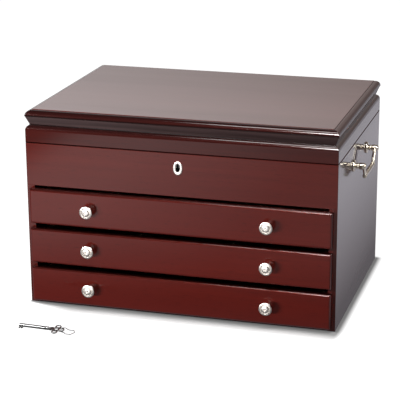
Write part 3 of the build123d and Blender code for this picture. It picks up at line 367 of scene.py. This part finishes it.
# %% [markdown]
# ## Inside the chest
#
# The drawer boxes and the boards that they run on are of plainer wood, wiped with thin stain and
# left dull. The linings are of ivory velvet: short fibres scatter light sideways, which the sheen
# sockets stand for, and where the pile lies another way the cloth looks a shade darker. The sheet
# under the base is black felt.

# %% Inner wood, velvet and felt
thin_stain_dark = (0.050, 0.012, 0.008, 1)
thin_stain_red = (0.095, 0.024, 0.014, 1)
open_pore = (0.018, 0.006, 0.004, 1)
inner_cloud_scale, inner_pore_scale, patch_scale = 14.0, 700.0, 45.0


def inner_mahogany(name, along):
    """Thinly stained wood with clouds and open pores along one axis, and no lacquer."""
    made, tree, shader = new_material(name, Specular_IOR_Level=0.3)
    drawn_out = tuple(0.10 if axis == along else 1.0 for axis in "XYZ")
    clouds = stretched_noise(tree, inner_cloud_scale, drawn_out, detail=3.0, distortion=0.8)
    pores = stretched_noise(tree, inner_pore_scale, drawn_out, detail=3.0)
    body = mix_colour(tree, remap(tree, clouds, *cloud_range), thin_stain_dark, thin_stain_red)
    body = mix_colour(tree, remap(tree, pores, 0.55, 0.75, 0.0, 0.7), body, open_pore)
    tree.links.new(body, shader.inputs["Base Color"])
    tree.links.new(remap(tree, pores, 0.3, 0.7, 0.55, 0.75), shader.inputs["Roughness"])
    bump = add(tree, "Bump", {"Height": pores, "Strength": 0.25, "Distance": 0.0002})
    tree.links.new(bump.outputs[0], shader.inputs["Normal"])
    return made


def pile(name, colour, shade, weight=0.6, grain=1500.0):
    """Cloth with a short pile: fine fibres, soft patches where the pile lies over, and sheen."""
    made, tree, shader = new_material(name, Roughness=0.95, Specular_IOR_Level=0.1, Sheen_Weight=weight,
                                      Sheen_Roughness=0.35, Sheen_Tint=colour)
    fibres = stretched_noise(tree, grain, even, detail=3.0)
    patches = stretched_noise(tree, patch_scale, even, detail=2.0, distortion=1.2)
    body = mix_colour(tree, remap(tree, patches, 0.35, 0.65, 0.0, 0.55), colour, shade)
    body = mix_colour(tree, remap(tree, fibres, 0.35, 0.70, 0.0, 0.45), body, shade)
    tree.links.new(body, shader.inputs["Base Color"])
    bump = add(tree, "Bump", {"Height": fibres, "Strength": 0.5, "Distance": 0.0004})
    tree.links.new(bump.outputs[0], shader.inputs["Normal"])
    return made


inner_long = inner_mahogany("inner_wood_long_grain", "X")
inner_deep = inner_mahogany("inner_wood_deep_grain", "Y")
velvet = pile("ivory_velvet", (0.62, 0.53, 0.40, 1), (0.40, 0.32, 0.22, 1))
felt = pile("black_felt", (0.020, 0.018, 0.018, 1), (0.008, 0.007, 0.007, 1), weight=0.25, grain=900.0)
dress(inner_long, "compartment_floor", "drawer_shelves", "drawer_stops",
      *(f"drawer_{n}_{part}" for n in drawer_numbers for part in ("back", "bottom")))
dress(inner_deep, *(f"drawer_{n}_sides" for n in drawer_numbers))
dress(velvet, "compartment_lining", "compartment_dividers", "lid_lining",
      *(f"drawer_{n}_dividers" for n in drawer_numbers))
dress(felt, "base_felt")

# %% [markdown]
# ## The mirror
#
# A mirror is metal behind glass. A metallic surface with almost no roughness stands for both, with
# a faint haze of polish marks, and its frame is lacquered like the lid.

# %% Silvered glass
silvered, tree, shader = new_material("silvered_glass", Metallic=1.0, Base_Color=(0.86, 0.88, 0.88, 1))
haze_scale = 30.0
haze = stretched_noise(tree, haze_scale, even, detail=5.0)
tree.links.new(remap(tree, haze, 0.45, 0.80, 0.01, 0.06), shader.inputs["Roughness"])
dress(silvered, "mirror")
dress(wood_long, "mirror_frame")

# %% [markdown]
# ## Surfaces from grids of points
#
# Every new piece is worked out with numpy as rows of points, where each row is a closed loop. Quads
# join each row to the next. A form that isn't closed by itself gets a fan to the middle of its two
# end rows, and doubled points are merged, so poles and seams come out clean. Corners are then marked
# sharp by their angle.

# %% Helpers for grids
weld_distance = 1e-6
sharp_angle = radians(32)


def grid_faces(rows, columns):
    """Quads between each point of a grid, its neighbour along the row, and the two in the next row."""
    row, column = np.arange(rows - 1)[:, None], np.arange(columns)[None, :]
    beside = (column + 1) % columns
    corners = (row * columns + column, row * columns + beside,
               (row + 1) * columns + beside, (row + 1) * columns + column)
    return np.stack(np.broadcast_arrays(*corners), axis=-1).reshape(-1, 4)


def capped(grid):
    """Add the middle of the first row before it and the middle of the last row after it."""
    first = np.broadcast_to(grid[0].mean(axis=0), grid[0].shape)
    last = np.broadcast_to(grid[-1].mean(axis=0), grid[-1].shape)
    return np.concatenate([first[None], grid, last[None]])


print("corners sharper than", round(sharp_angle * 180 / pi), "degrees stay sharp")

# %% [markdown]
# The meshes of one piece are joined, cleaned and shaded in one go. The piece is then parented to an empty
# named for the body of the imported model that carries it, and the imported pieces it stands for are hidden.
# Places are taken from the imported piece's box, so nothing is fitted by eye.

# %% Make a piece
def make_piece(name, grids, finish, body, slot, *stands_for):
    """Join closed grids, given in millimetres, into one mesh that rides on a body."""
    points, faces, count = [], [], 0
    for grid in grids:
        rows, columns = grid.shape[:2]
        points.append(grid.reshape(-1, 3) * mm)
        faces.append(grid_faces(rows, columns) + count)
        count += rows * columns
    mesh = bpy.data.meshes.new(name)
    mesh.from_pydata(np.concatenate(points).tolist(), [], np.concatenate(faces).tolist())
    shell = bmesh.new()
    shell.from_mesh(mesh)
    bmesh.ops.remove_doubles(shell, verts=shell.verts, dist=weld_distance)
    bmesh.ops.dissolve_degenerate(shell, edges=shell.edges, dist=weld_distance)
    bmesh.ops.recalc_face_normals(shell, faces=shell.faces)
    shell.to_mesh(mesh)
    shell.free()
    mesh.shade_smooth()
    mesh.set_sharp_from_angle(angle=sharp_angle)
    mesh.materials.append(finish)
    piece = bpy.data.objects.new(name, mesh)
    bpy.context.scene.collection.objects.link(piece)
    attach(piece, body)
    if stands_for:
        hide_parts(*stands_for)
    print(name, "has", len(mesh.polygons), "faces")
    return piece


def box_mm(node):
    """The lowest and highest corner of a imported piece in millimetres."""
    return tuple(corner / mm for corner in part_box(node))


print("the carcase's right wall stands from", *(round(corner.x, 1) for corner in box_mm("side_panel_right")))

# %% [markdown]
# ## Outlines and the forms they make
#
# A turner thinks in outlines: runs, arcs and small rounded corners. An outline turned about an axis
# makes a knob or a post. Each form is one formula, so it can be made at any fineness without a point
# being placed by hand.

# %% Helpers for outlines
def softened(points, reach, steps=3):
    """Round each inner corner of a polyline with a parabola from its start over the corner to its end.

    With t from 0 to 1, start counts by the square of 1 - t, the corner by twice t times 1 - t, and
    end by the square of t. Start and end lie on the two runs, up to reach from the corner and never
    past 0.45 of a run.
    """
    points = np.asarray(points, float)
    before, corner, after = points[:-2], points[1:-1], points[2:]
    back, ahead = before - corner, after - corner
    back_length = np.linalg.norm(back, axis=1, keepdims=True)
    ahead_length = np.linalg.norm(ahead, axis=1, keepdims=True)
    start = corner + back * np.minimum(reach / back_length, 0.45)
    end = corner + ahead * np.minimum(reach / ahead_length, 0.45)
    t = np.linspace(0, 1, steps + 1)[None, :, None]
    curves = (1 - t) ** 2 * start[:, None] + 2 * t * (1 - t) * corner[:, None] + t ** 2 * end[:, None]
    return np.concatenate([points[:1], curves.reshape(-1, points.shape[1]), points[-1:]])


def arc_through(start, middle, end, steps=10):
    """Points on the circle through three points, whose centre follows from their complex ratio."""
    a, b, c = complex(*start), complex(*middle), complex(*end)
    ratio = (c - a) / (b - a)
    centre = (b - a) * (ratio - abs(ratio) ** 2) / (2j * ratio.imag) + a
    turned = np.angle((b - centre) / (a - centre)) + np.angle((c - centre) / (b - centre))
    arc = centre + (a - centre) * np.exp(1j * turned * np.linspace(0, 1, steps + 1))
    return np.stack([arc.real, arc.imag], axis=1)


def lathe(profile, origin, axis, steps=40):
    """Turn pairs of a radius and a distance along the axis.

    A point is the origin, plus its distance along the axis, plus its radius times a unit vector that
    goes once round the axis. Side is any direction square to the axis.
    """
    profile, axis = np.asarray(profile, float), np.asarray(axis, float)
    axis = axis / np.linalg.norm(axis)
    aslant = np.roll(axis, 1) + (0.0, 0.1, 0.3)
    side = np.cross(axis, aslant)
    side = side / np.linalg.norm(side)
    angle = np.linspace(0, 2 * pi, steps, endpoint=False)[:, None]
    circle = np.cos(angle) * side + np.sin(angle) * np.cross(axis, side)
    return (np.asarray(origin, float) + profile[:, 1, None, None] * axis
            + profile[:, 0, None, None] * circle[None])


print("a softened square corner has", len(softened([(0, 0), (1, 0), (1, 1)], 0.2)) - 2, "points")

# %% [markdown]
# ## Turned knobs
#
# A knob is turned on a lathe: a foot, a slim neck, a flare that ends in a rim, a groove, and a domed
# disc with a small dimple. A profile carried round an axis says exactly that. The rims are softened
# a little, because a polishing wheel always rounds them, and those rounded rims give the bright
# rings by which the eye knows turned metal.

# %% Knobs
knob_profile = softened(np.concatenate([
    [(0, 6.0), (2.01, 6.0), (2.01, 0), (4.6, 0), (4.6, 1.0), (3.0, 2.4), (3.0, 5.6)],
    arc_through((3.0, 5.6), (5.1, 7.3), (8.25, 8.7))[1:],
    [(8.25, 9.5), (6.6, 10.3), (6.0, 8.7), (5.3, 8.7), (4.9, 10.6)],
    arc_through((4.9, 10.6), (3.5, 11.7), (1.7, 12.0))[1:],
    [(1.2, 10.2), (0, 10.0)]]), 0.25)


def knob_places(number):
    """Middles of a drawer's two knobs on its face, from the box of the knobs in the frame."""
    low, high = box_mm(f"drawer_{number}_knobs")
    radius = (high.z - low.z) / 2
    return [(low.x + radius, high.y, low.z + radius), (high.x - radius, high.y, low.z + radius)]


knob_pairs = []
for number in drawer_numbers:
    knobs = [lathe(knob_profile, place, (0, -1, 0)) for place in knob_places(number)]
    knob_pairs.append(make_piece(f"knob_pair_{number}", knobs, nickel, f"drawer_{number}",
                                 "polished_nickel", f"drawer_{number}_knobs"))

# %% [markdown]
# ## The keyhole plate
#
# The plate is a small domed oval with an oval hole, of satin nickel like the knobs, so that it shows
# as one soft bright ring. It is a half-round section carried round an ellipse, with a collar that
# lines the hole.

# %% Keyhole plate
plate_low, plate_high = box_mm("escutcheon")
panel_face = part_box("upper_front_panel")[0].y / mm
hole_half_x, hole_half_z, collar_depth = 2.7, 5.35, 1.6


def oval_ring(section):
    """Rows of (share of the way from hole to edge, distance out) become ellipses about the keyhole."""
    share, out = np.asarray(section, float).T[:, :, None]
    turn = np.linspace(0, 2 * pi, 64, endpoint=False)[None, :]
    half_x = hole_half_x + share * ((plate_high.x - plate_low.x) / 2 - hole_half_x)
    half_z = hole_half_z + share * ((plate_high.z - plate_low.z) / 2 - hole_half_z)
    middle_x, middle_z = (plate_low.x + plate_high.x) / 2, (plate_low.z + plate_high.z) / 2
    return np.stack([middle_x + half_x * np.cos(turn), panel_face - out + 0 * turn,
                     middle_z + half_z * np.sin(turn)], axis=-1)


dome = [(0.5 + 0.5 * cos(b), 0.15 + 0.85 * sin(b)) for b in np.linspace(0, pi, 12)]
collar_outside = [(0.30, -collar_depth), (0.35, -0.01), (1.0, 0.0)]
collar_inside = [(0.0, -collar_depth), (0.30, -collar_depth)]
keyhole_plate = make_piece("keyhole_plate", [oval_ring(collar_outside + dome + collar_inside)], nickel,
                           "carcase", "polished_nickel", "escutcheon")

# %% [markdown]
# ## Side handles
#
# Each post is turned too: a rosette that covers its hole, a bead, and a ball that carries the bail.
# The bail's arms swell in the middle, and its grip is a spindle between two collars. Lathe grids
# that run into each other stand for the brazed joints.

# %% Outlines of the posts and bails
post_profile = softened(np.concatenate([
    [(0, -9.0), (2.0, -9.0), (2.0, 0), (7.4, 0)],
    arc_through((7.4, 0.2), (7.1, 1.9), (5.7, 2.5)), [(4.6, 2.3), (4.4, 2.9)],
    [(3.0, 3.4), (3.0, 4.4), (4.0, 4.9), (4.0, 6.2), (3.2, 6.8), (3.2, 7.4), (4.2, 8.2)],
    arc_through((4.2, 8.2), (4.3, 11.5), (4.0, 14.4), 8)[1:],
    arc_through((4.0, 14.4), (2.7, 15.9), (0.001, 16.3), 8)[1:]]), 0.3)
pin_profile = softened([(0, -0.5), (1.5, -0.5), (1.5, 11.1), (2.3, 11.1), (2.3, 12.1), (0, 12.1)], 0.3)
arm_length = 20.25
arm_profile = np.concatenate([
    arc_through((0.001, -2.3), (2.3, 0), (1.9, 1.3), 8), arc_through((1.8, 2.2), (2.2, 10), (1.8, 18), 10),
    [(1.6, arm_length), (0.001, arm_length)]])
half_grip = [(0, 29.5), (2.6, 29.5), (2.9, 29.0), (2.9, 24.5), (2.1, 24.0), (2.1, 23.4), (2.6, 22.9)]
grip_profile = softened(np.concatenate([
    half_grip, arc_through((2.6, 22.9), (3.0, 0), (2.6, -22.9), 16)[1:],
    [(radius, -along) for radius, along in half_grip[-2::-1]]]), 0.25)
print("a post stands", post_profile[:, 1].max(), "mm out and the grip is", 2 * half_grip[0][1], "mm long")

# %% [markdown]
# The posts' places come from the frame, and the bail hangs on pins through their balls. One side is
# made as the other one's mirror image by turning the axes of its lathe work, so no mesh is mirrored.

# %% Posts and bails
post_half_spacing, pivot_reach, arm_top, arm_foot, grip_drop = 44.5, 12.0, 38.0, 27.0, 17.0
handle_pieces = {}
for side_name, way in (("left", -1), ("right", 1)):
    post_low, post_high = box_mm(f"handle_posts_{side_name}")
    wall_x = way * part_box("side_panel_right")[1].x / mm
    pivot_x = wall_x + way * pivot_reach
    post_z = (post_low.z + post_high.z) / 2
    posts = [lathe(post_profile, (wall_x, y, post_z), (way, 0, 0))
             for y in (-post_half_spacing, post_half_spacing)]
    bail = [lathe(grip_profile, (pivot_x, 0, post_z - grip_drop), (0, 1, 0))]
    for end in (-1, 1):
        top = (pivot_x, end * arm_top, post_z)
        bail.append(lathe(pin_profile, top, (0, end, 0), 24))
        bail.append(lathe(arm_profile, top, (0, end * (arm_foot - arm_top), -grip_drop), 24))
    handle_pieces[side_name] = [
        make_piece(f"post_pair_{side_name}", posts, antique, "carcase", "polished_nickel",
                   f"handle_posts_{side_name}"),
        make_piece(f"swing_handle_{side_name}", bail, antique, f"bail_{side_name}", "polished_nickel",
                   f"bail_{side_name}")]

# %% [markdown]
# ## The key
#
# The key's bit is filed from flat bar, and its bow is cast as four linked rings round a middle one. A
# filed block is a stack of rounded rectangles, which later makes the drawers' trays too. A ring with
# an oval section is a torus: a small ellipse carried round a circle.

# %% Flat forms of the key
key_half_thick = 0.85


def rounded_loops(rows, centre=(0.0, 0.0), steps=5):
    """Stack rounded rectangles: rows of (half x, half y, corner radius, height).

    Each corner is a quarter circle whose centre lies one radius in from both sides.
    """
    half_x, half_y, radius, height = np.asarray(rows, float).T[:, :, None]
    quarter = np.linspace(0, pi / 2, steps)
    angle = np.concatenate([quarter + turn * pi / 2 for turn in range(4)])[None, :]
    sign_x = np.repeat((1, -1, -1, 1), steps)[None, :]
    sign_y = np.repeat((1, 1, -1, -1), steps)[None, :]
    x = centre[0] + sign_x * (half_x - radius) + radius * np.cos(angle)
    y = centre[1] + sign_y * (half_y - radius) + radius * np.sin(angle)
    return np.stack([x, y, np.broadcast_to(height, x.shape)], axis=-1)


def rounded_block(low, high, radius, steps=4):
    """A box whose eight corners are eighths of a ball: rounded rectangles that swell with height."""
    low, high = np.asarray(low, float), np.asarray(high, float)
    half, middle = (high - low) / 2, (high + low) / 2
    tilt = np.concatenate([np.linspace(-pi / 2, 0, steps), np.linspace(0, pi / 2, steps)])
    lift = np.repeat((-1, 1), steps) * (half[2] - radius) + radius * np.sin(tilt)
    swell = radius * np.cos(tilt)
    rows = np.stack([half[0] - radius + swell, half[1] - radius + swell, swell, middle[2] + lift], axis=1)
    return capped(rounded_loops(rows, middle[:2], steps))


def flat_ring(centre, middle_radius, half_width, around=40, across=14):
    """Torus with an oval section of angle b.

    Its radius is the middle radius plus the half width times the cosine of b, and its height is half
    the key's thickness times the sine of b.
    """
    turn = np.linspace(0, 2 * pi, around + 1)[:, None]
    section = np.linspace(0, 2 * pi, across, endpoint=False)[None, :]
    radius = middle_radius + half_width * np.cos(section)
    height = np.broadcast_to(key_half_thick * np.sin(section), (around + 1, across))
    return np.stack([centre[0] + radius * np.cos(turn), centre[1] + radius * np.sin(turn), height], axis=-1)


def bit_block(start, end, depth, top):
    """A filed block of the bit, from start to end along the shaft and from a depth up to a top."""
    return rounded_block((start, -depth, -key_half_thick), (end, top, key_half_thick), 0.25)


print("the key's flat parts are", 2 * key_half_thick, "mm thick")

# %% [markdown]
# The shaft is a turned tube with two collars. The whole key is built in its own axes and then laid on
# the floor, where it rests on its bit and on the lower edge of its bow.

# %% Key
key_tip, key_turn, key_roll = np.array((-182.0, -225.6, 2.36)), radians(-2.6), radians(7.0)
key_axes = np.array(((cos(key_turn), sin(key_turn), 0),
                     (-sin(key_turn) * cos(key_roll), cos(key_turn) * cos(key_roll), sin(key_roll)),
                     (sin(key_turn) * sin(key_roll), -cos(key_turn) * sin(key_roll), cos(key_roll))))
bow_middle, lobe_offset = 50.2, 6.5
bit_foot, bit_end, bit_step, bit_depth, notch_top = 2.0, 7.0, 4.9, 7.2, -4.0
tip_tooth, back_tooth = 2.0, 1.8

shaft_profile = softened([(0, 14.0), (1.05, 14.0), (1.05, 0), (2.2, 0), (2.2, 35.0), (2.3, 35.0),
                          (2.3, 36.6), (2.2, 36.6), (2.2, 38.0), (2.3, 38.0), (2.3, 39.6), (2.0, 39.6),
                          (1.6, 42.5), (0, 42.5)], 0.2)
lobes = [(bow_middle + lobe_offset, 0), (bow_middle, lobe_offset), (bow_middle, -lobe_offset)]
key_grids = [lathe(shaft_profile, (0, 0, 0), (1, 0, 0), 28),
             flat_ring((bow_middle, 0), 3.5, 1.5),
             flat_ring((bow_middle - lobe_offset, 0), 2.4, 1.8),
             bit_block(bit_foot, bit_end, bit_step, 0.0),
             bit_block(bit_foot, bit_foot + tip_tooth, bit_depth, notch_top),
             bit_block(bit_end - back_tooth, bit_end, bit_depth, notch_top)]
key_grids += [flat_ring(lobe, 3.2, 1.0) for lobe in lobes]
laid_down = [key_tip + grid @ key_axes for grid in key_grids]
make_piece("lock_key", laid_down, key_metal, "key", "key_metal", "key")

# %% [markdown]
# ## Padded rolls
#
# Rings are pushed between padded rolls of foam under velvet. Each roll has a flattened bottom, sides that
# draw in towards it, and an arched crown, and it closes roundly at its ends, where the cloth gathers
# in small folds.

# %% Ring rolls
roll_low, roll_high = box_mm("ring_rolls")
roll_count, roll_stations, roll_turns = 6, 41, 56
roll_pitch, roll_shift, roll_gap = 21.0, 0.15, 0.4
end_power, end_droop = 10, 0.06
fold_count, fold_depth = 14, 0.02
side_power, crown_power, foot_draw = 0.55, 0.62, 0.10


def ring_roll(number):
    """A closed roll: a squared circle of folded cloth, carried from one end at s = -1 to s = 1.

    Its size is the tenth root of one less the tenth power of s, so it stays full and closes fast.
    Folds are a cosine round the section that grows with the fifth power of s. The squared circle
    raises the cosine and the sine of its angle to powers below 1.
    """
    s = np.sin(np.linspace(-pi / 2, pi / 2, roll_stations))[:, None]
    angle = np.linspace(0, 2 * pi, roll_turns, endpoint=False)[None, :]
    size = np.clip(1 - np.abs(s) ** end_power, 0, 1) ** (1 / end_power) * (1 - end_droop * s ** 4)
    fold = 1 - fold_depth * np.abs(s) ** 5 * (1 + np.cos(fold_count * angle))
    across = np.sign(np.cos(angle)) * np.abs(np.cos(angle)) ** side_power
    upward = np.sign(np.sin(angle)) * np.abs(np.sin(angle)) ** crown_power
    half_height, half_length = (roll_high.z - roll_low.z) / 2, (roll_high.x - roll_low.x) / 2
    narrowed = 1 - foot_draw * (1 - upward) / 2
    middle = roll_low.y + (number + 0.5) * roll_pitch - roll_shift
    x = (roll_low.x + roll_high.x) / 2 + half_length * s + 0 * angle
    y = middle + (roll_pitch - roll_gap) / 2 * across * size * fold * narrowed
    z = roll_low.z + half_height + half_height * upward * size * fold
    return capped(np.stack([x, y, z], axis=-1))


rolls = make_piece("velvet_ring_rolls", [ring_roll(number) for number in range(roll_count)], velvet,
                   "carcase", "lining_cloth", "ring_rolls")

# %% [markdown]
# ## Lined trays
#
# The drawers' trays are card under the same velvet, so their rims and inner corners are soft. One
# outline goes up the outer wall, over the rim and down a cove to the floor, and a rounded rectangle
# follows it round the tray.

# %% Drawer trays
tray_wall, tray_cove, tray_corner, foot_easing = 1.5, 2.5, 1.2, 0.3


def lined_tray(low, high):
    """A thin open tray: its rim is half a circle as wide as the wall, and its cove is a quarter circle."""
    half_x, half_y = (high.x - low.x) / 2, (high.y - low.y) / 2
    rows = [(half_x - foot_easing, half_y - foot_easing, 1.0, low.z),
            (half_x, half_y, tray_corner, low.z + foot_easing)]
    rim = tray_wall / 2
    for bend in np.linspace(0, pi, 7):
        inward = rim - rim * cos(bend)
        rows.append((half_x - inward, half_y - inward, tray_corner, high.z - rim + rim * sin(bend)))
    for bend in np.linspace(0, pi / 2, 6):
        inward = tray_wall + tray_cove * (1 - cos(bend))
        rows.append((half_x - inward, half_y - inward, tray_corner,
                     low.z + tray_wall + tray_cove * (1 - sin(bend))))
    return capped(rounded_loops(rows, ((low.x + high.x) / 2, (low.y + high.y) / 2)))


for number in drawer_numbers:
    tray = lined_tray(*box_mm(f"drawer_{number}_lining"))
    make_piece(f"velvet_tray_{number}", [tray], velvet, f"drawer_{number}", "lining_cloth",
               f"drawer_{number}_lining")

# %% [markdown]
# ## The studio floor
#
# A lacquered box shows its surroundings as much as its own colour. The top and the right side are seen at a
# low angle, where lacquer mirrors strongly, so they take the tone of whatever stands behind the chest. The
# front is seen nearly square on, where lacquer mirrors weakly, and it stays deep red only if the floor
# before it looks dark in reflections. A photographer lays a black card there. Here the paper floor answers
# the camera as glowing white paper with a painted contact shadow, a narrow darker band where the chest
# stands on it. It answers every other ray with a glowing tone that depends on the place.

# %% Tones of the floor
side_low, side_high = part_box("side_panel_right")
right_edge, case_front, key_front = side_high.x, side_low.y, cad_box[0][1]
# the middle glow is the paper's level inside the painted contact shadow, and the reaches below say how far
# that painted shadow spreads from each side
paper_glow, shade_glow, stray_glow = 0.95, 0.10, 0.06
left_reach, side_reach, front_reach = 0.003, 0.010, 0.030
paper_white, violet_grey = (1, 1, 1, 1), (0.98, 0.955, 1.04, 1)

# Each ramp runs from one place to another, and from one tone to another.
leftward_ramp = (0.0, -0.30, 0.38, 1.0)
far_left_ramp = (-0.50, -0.425, 0.10, 1.0)
outward_ramp = (-0.13, -0.50)
beside_rise = (right_edge + 0.01, right_edge + 0.11, 0.19, 0.66)
beside_fall = (right_edge + 0.15, right_edge + 0.20, 1.0, 0.66)
ahead_ramp = (key_front + 0.10, key_front)


def floor_tone(tree):
    """Tone of the floor in reflections: dark before the chest's right half, pale elsewhere.

    Before the chest it is the product of two ramps to the left and one outward, beside it the
    product of a rise and a fall, and a ramp from back to front blends the two.
    """
    place = own_place(tree)
    x, y = place["X"], place["Y"]
    leftward = calc(tree, "MULTIPLY", remap(tree, x, *leftward_ramp), remap(tree, x, *far_left_ramp))
    ahead_tone = calc(tree, "MULTIPLY", leftward, remap(tree, y, *outward_ramp))
    beside_tone = calc(tree, "MULTIPLY", remap(tree, x, *beside_rise), remap(tree, x, *beside_fall))
    ahead = remap(tree, y, *ahead_ramp)
    mirrored = add(tree, "LightPath").outputs["Is Glossy Ray"]
    strength = mix_number(tree, mirrored, stray_glow, mix_number(tree, ahead, beside_tone, ahead_tone))
    return strength, mix_colour(tree, ahead, violet_grey, paper_white)


def painted_contact_shadow(tree):
    """Glow of the paper with a painted contact shadow: lowest against the chest, and full at a side's own
    reach from its footprint.

    The distance is the root of the summed squares of how far a point lies past each side, counted in
    that side's reach.
    """
    place = own_place(tree)
    ahead_reach = remap(tree, place["X"], -right_edge, -0.7 * right_edge, left_reach, front_reach)
    sides = (("X", 1, right_edge, side_reach), ("X", -1, right_edge, left_reach),
             ("Y", -1, -case_front, ahead_reach), ("Y", 1, -case_front, side_reach))
    total = 0.0
    for axis, way, half, reach in sides:
        past = calc(tree, "MAXIMUM", calc(tree, "MULTIPLY_ADD", place[axis], way, -half), 0.0)
        square = calc(tree, "POWER", calc(tree, "DIVIDE", past, reach), 2.0)
        total = calc(tree, "ADD", square, total)
    return remap(tree, calc(tree, "SQRT", total), 0.30, 1.0, shade_glow, paper_glow)


print("the floor darkens from", round(key_front / mm), "mm and ends its band", front_reach / mm, "mm out")

# %% [markdown]
# The floor itself is one wide square. Its material is a Mix Shader that asks the Light Path node which
# ray has hit it, and gives the camera the paper and all other rays the tones above.

# %% The paper floor
floor_reach = 15.0
floor_corners = [(way_x * floor_reach, way_y * floor_reach, 0)
                 for way_x, way_y in ((-1, -1), (1, -1), (1, 1), (-1, 1))]
floor_mesh = bpy.data.meshes.new("paper_floor")
floor_mesh.from_pydata(floor_corners, [], [(0, 1, 2, 3)])
floor = bpy.data.objects.new("paper_floor", floor_mesh)
bpy.context.scene.collection.objects.link(floor)

paper, tree, shader = new_material("white_paper", Roughness=0.9, Specular_IOR_Level=0.1,
                                   Base_Color=(0.30, 0.30, 0.30, 1), Emission_Color=paper_white)
# the camera sees the paper's glow with its painted contact shadow
tree.links.new(painted_contact_shadow(tree), shader.inputs["Emission Strength"])
strength, tint = floor_tone(tree)
unseen = add(tree, "Emission", {"Color": tint, "Strength": strength})
seen = add(tree, "LightPath").outputs["Is Camera Ray"]
answer = add(tree, "MixShader", {0: seen, 1: unseen.outputs[0], 2: shader.outputs[0]})
tree.links.new(answer.outputs[0], tree.nodes["Material Output"].inputs["Surface"])
floor_mesh.materials.append(paper)
print("the floor is", 2 * floor_reach, "m wide")

# %% [markdown]
# ## The white room
#
# The room beyond is white to the camera. In reflections it is brightest behind the left of the chest
# and higher up, which gives the lid its pale sheen that deepens and warms to the right and the back.
# A world has no surface, so its shader reads the direction in which a ray leaves.

# %% Room tones by direction
world = bpy.data.worlds.new("white_studio")
bpy.context.scene.world = world
world.use_nodes = True
tree = world.node_tree
room_front, room_back_left, room_back_right = 0.02, 0.85, 0.29
room_white, room_warm = (1.0, 1.0, 1.0, 1), (1.04, 0.93, 0.89, 1)
behind_ramp = (0.3, 0.9)
rightward = (-0.40, -0.05)
rising_ramp = (0.217, 0.251, 0.78, 1.22)
overhead_ramp = (0.240, 0.250, 1.0, 1.2)

direction = add(tree, "SeparateXYZ", {0: add(tree, "TexCoord").outputs["Generated"]}).outputs
sheen = remap(tree, direction["X"], *rightward, room_back_left, room_back_right)
sheen = calc(tree, "MULTIPLY", sheen, remap(tree, direction["Z"], *rising_ramp))
sheen = calc(tree, "MULTIPLY", sheen, remap(tree, direction["Z"], *overhead_ramp))
level = mix_number(tree, remap(tree, direction["Y"], *behind_ramp), room_front, sheen)
tone = mix_colour(tree, remap(tree, direction["X"], *rightward), room_white, room_warm)
seen = add(tree, "LightPath").outputs["Is Camera Ray"]
background = tree.nodes["Background"].inputs
tree.links.new(mix_number(tree, seen, level, 1.0), background["Strength"])
tree.links.new(mix_colour(tree, seen, tone, room_white), background["Color"])
print("room tones, left and right:", room_back_left, room_back_right)

# %% [markdown]
# ## The lamps
#
# A key lamp on the left and a wide lamp overhead light the chest. The rest stand in for the cards and
# flags of a product photographer: each shines on one group of pieces only. A strip draws the bright
# lines along the rounded edges, two small lamps catch the right handle, and one fills the knobs. One
# low lamp lights the drawer fronts in place of the key lamp, so that the knobs' shadows fall to the
# right.

# %% Helpers for lamps
def softbox(name, place, target, width, height, power):
    """A rectangular studio lamp that looks at a target point."""
    data = bpy.data.lights.new(name, "AREA")
    data.shape = "RECTANGLE"
    data.size, data.size_y, data.energy = width, height, power
    lamp = bpy.data.objects.new(name, data)
    lamp.location = place
    lamp.rotation_mode = "QUATERNION"
    lamp.rotation_quaternion = (Vector(target) - Vector(place)).to_track_quat("-Z", "Y")
    bpy.context.scene.collection.objects.link(lamp)
    return lamp


def shine_on(lamp, group, pieces, link_state="INCLUDE"):
    """Keep a lamp's light for one group of pieces, or off it, as a flag on a stand would."""
    chosen = bpy.data.collections.new(group)
    for piece in pieces:
        chosen.objects.link(piece)
    lamp.light_linking.receiver_collection = chosen
    for entry in chosen.collection_objects:
        entry.light_linking.link_state = link_state
    print(lamp.name, "and", group, link_state.lower(), len(pieces), "pieces")


# %% [markdown]
# The lamps are set one by one, each with its place, its size and its power in watts. The strip gives
# only mirror light and the low lamp only soft light, so neither spoils what the other draws.

# %% Studio lamps
chest_middle = (0, 0, 0.12)
left_key = softbox("left_key", (-0.85, -0.85, 0.60), chest_middle, 0.5, 0.3, 16)
softbox("overhead", (0.2, -0.6, 1.9), chest_middle, 1.4, 0.4, 19)
strip = softbox("edge_strip", (0.65, -0.9, 1.1), (0.1, -0.14, 0.23), 1.9, 0.35, 150)
knob_fill = softbox("knob_fill", (-0.15, -1.30, 0.35), chest_middle, 0.7, 0.7, 13)
handle_spark = softbox("handle_spark", (0.9, -1.1, 0.75), chest_middle, 0.35, 0.35, 12)
handle_side = softbox("handle_side", (1.31, 0.035, 0.60), (0.21, 0.0, 0.18), 0.4, 0.4, 6)
low_key = softbox("low_key", (-0.75, -1.05, 0.06), (0, -0.14, 0.15), 0.5, 0.08, 11)
strip.visible_diffuse = False
low_key.visible_glossy = False

fronts = [nodes[name] for name in drawer_fronts]
edged_boards = [nodes[name] for name in ("lid_front_rail", "lid_side_rails", "upper_front_panel")]
shine_on(strip, "lacquered_boards", edged_boards + fronts)
shine_on(knob_fill, "satin_fittings", knob_pairs + [keyhole_plate])
shine_on(handle_spark, "swinging_fittings", handle_pieces["right"])
shine_on(handle_side, "side_lit_fittings", handle_pieces["right"])
shine_on(low_key, "lit_from_below", fronts)
shine_on(left_key, "shaded_from_above", fronts, "EXCLUDE")
bpy.context.scene.view_settings.view_transform = "Standard"

# %% [markdown]
# ## The last update
#
# The scene is brought up to date. The finer surfaces must stay in the imported model's box.

# %% Update the scene
bpy.context.view_layer.update()
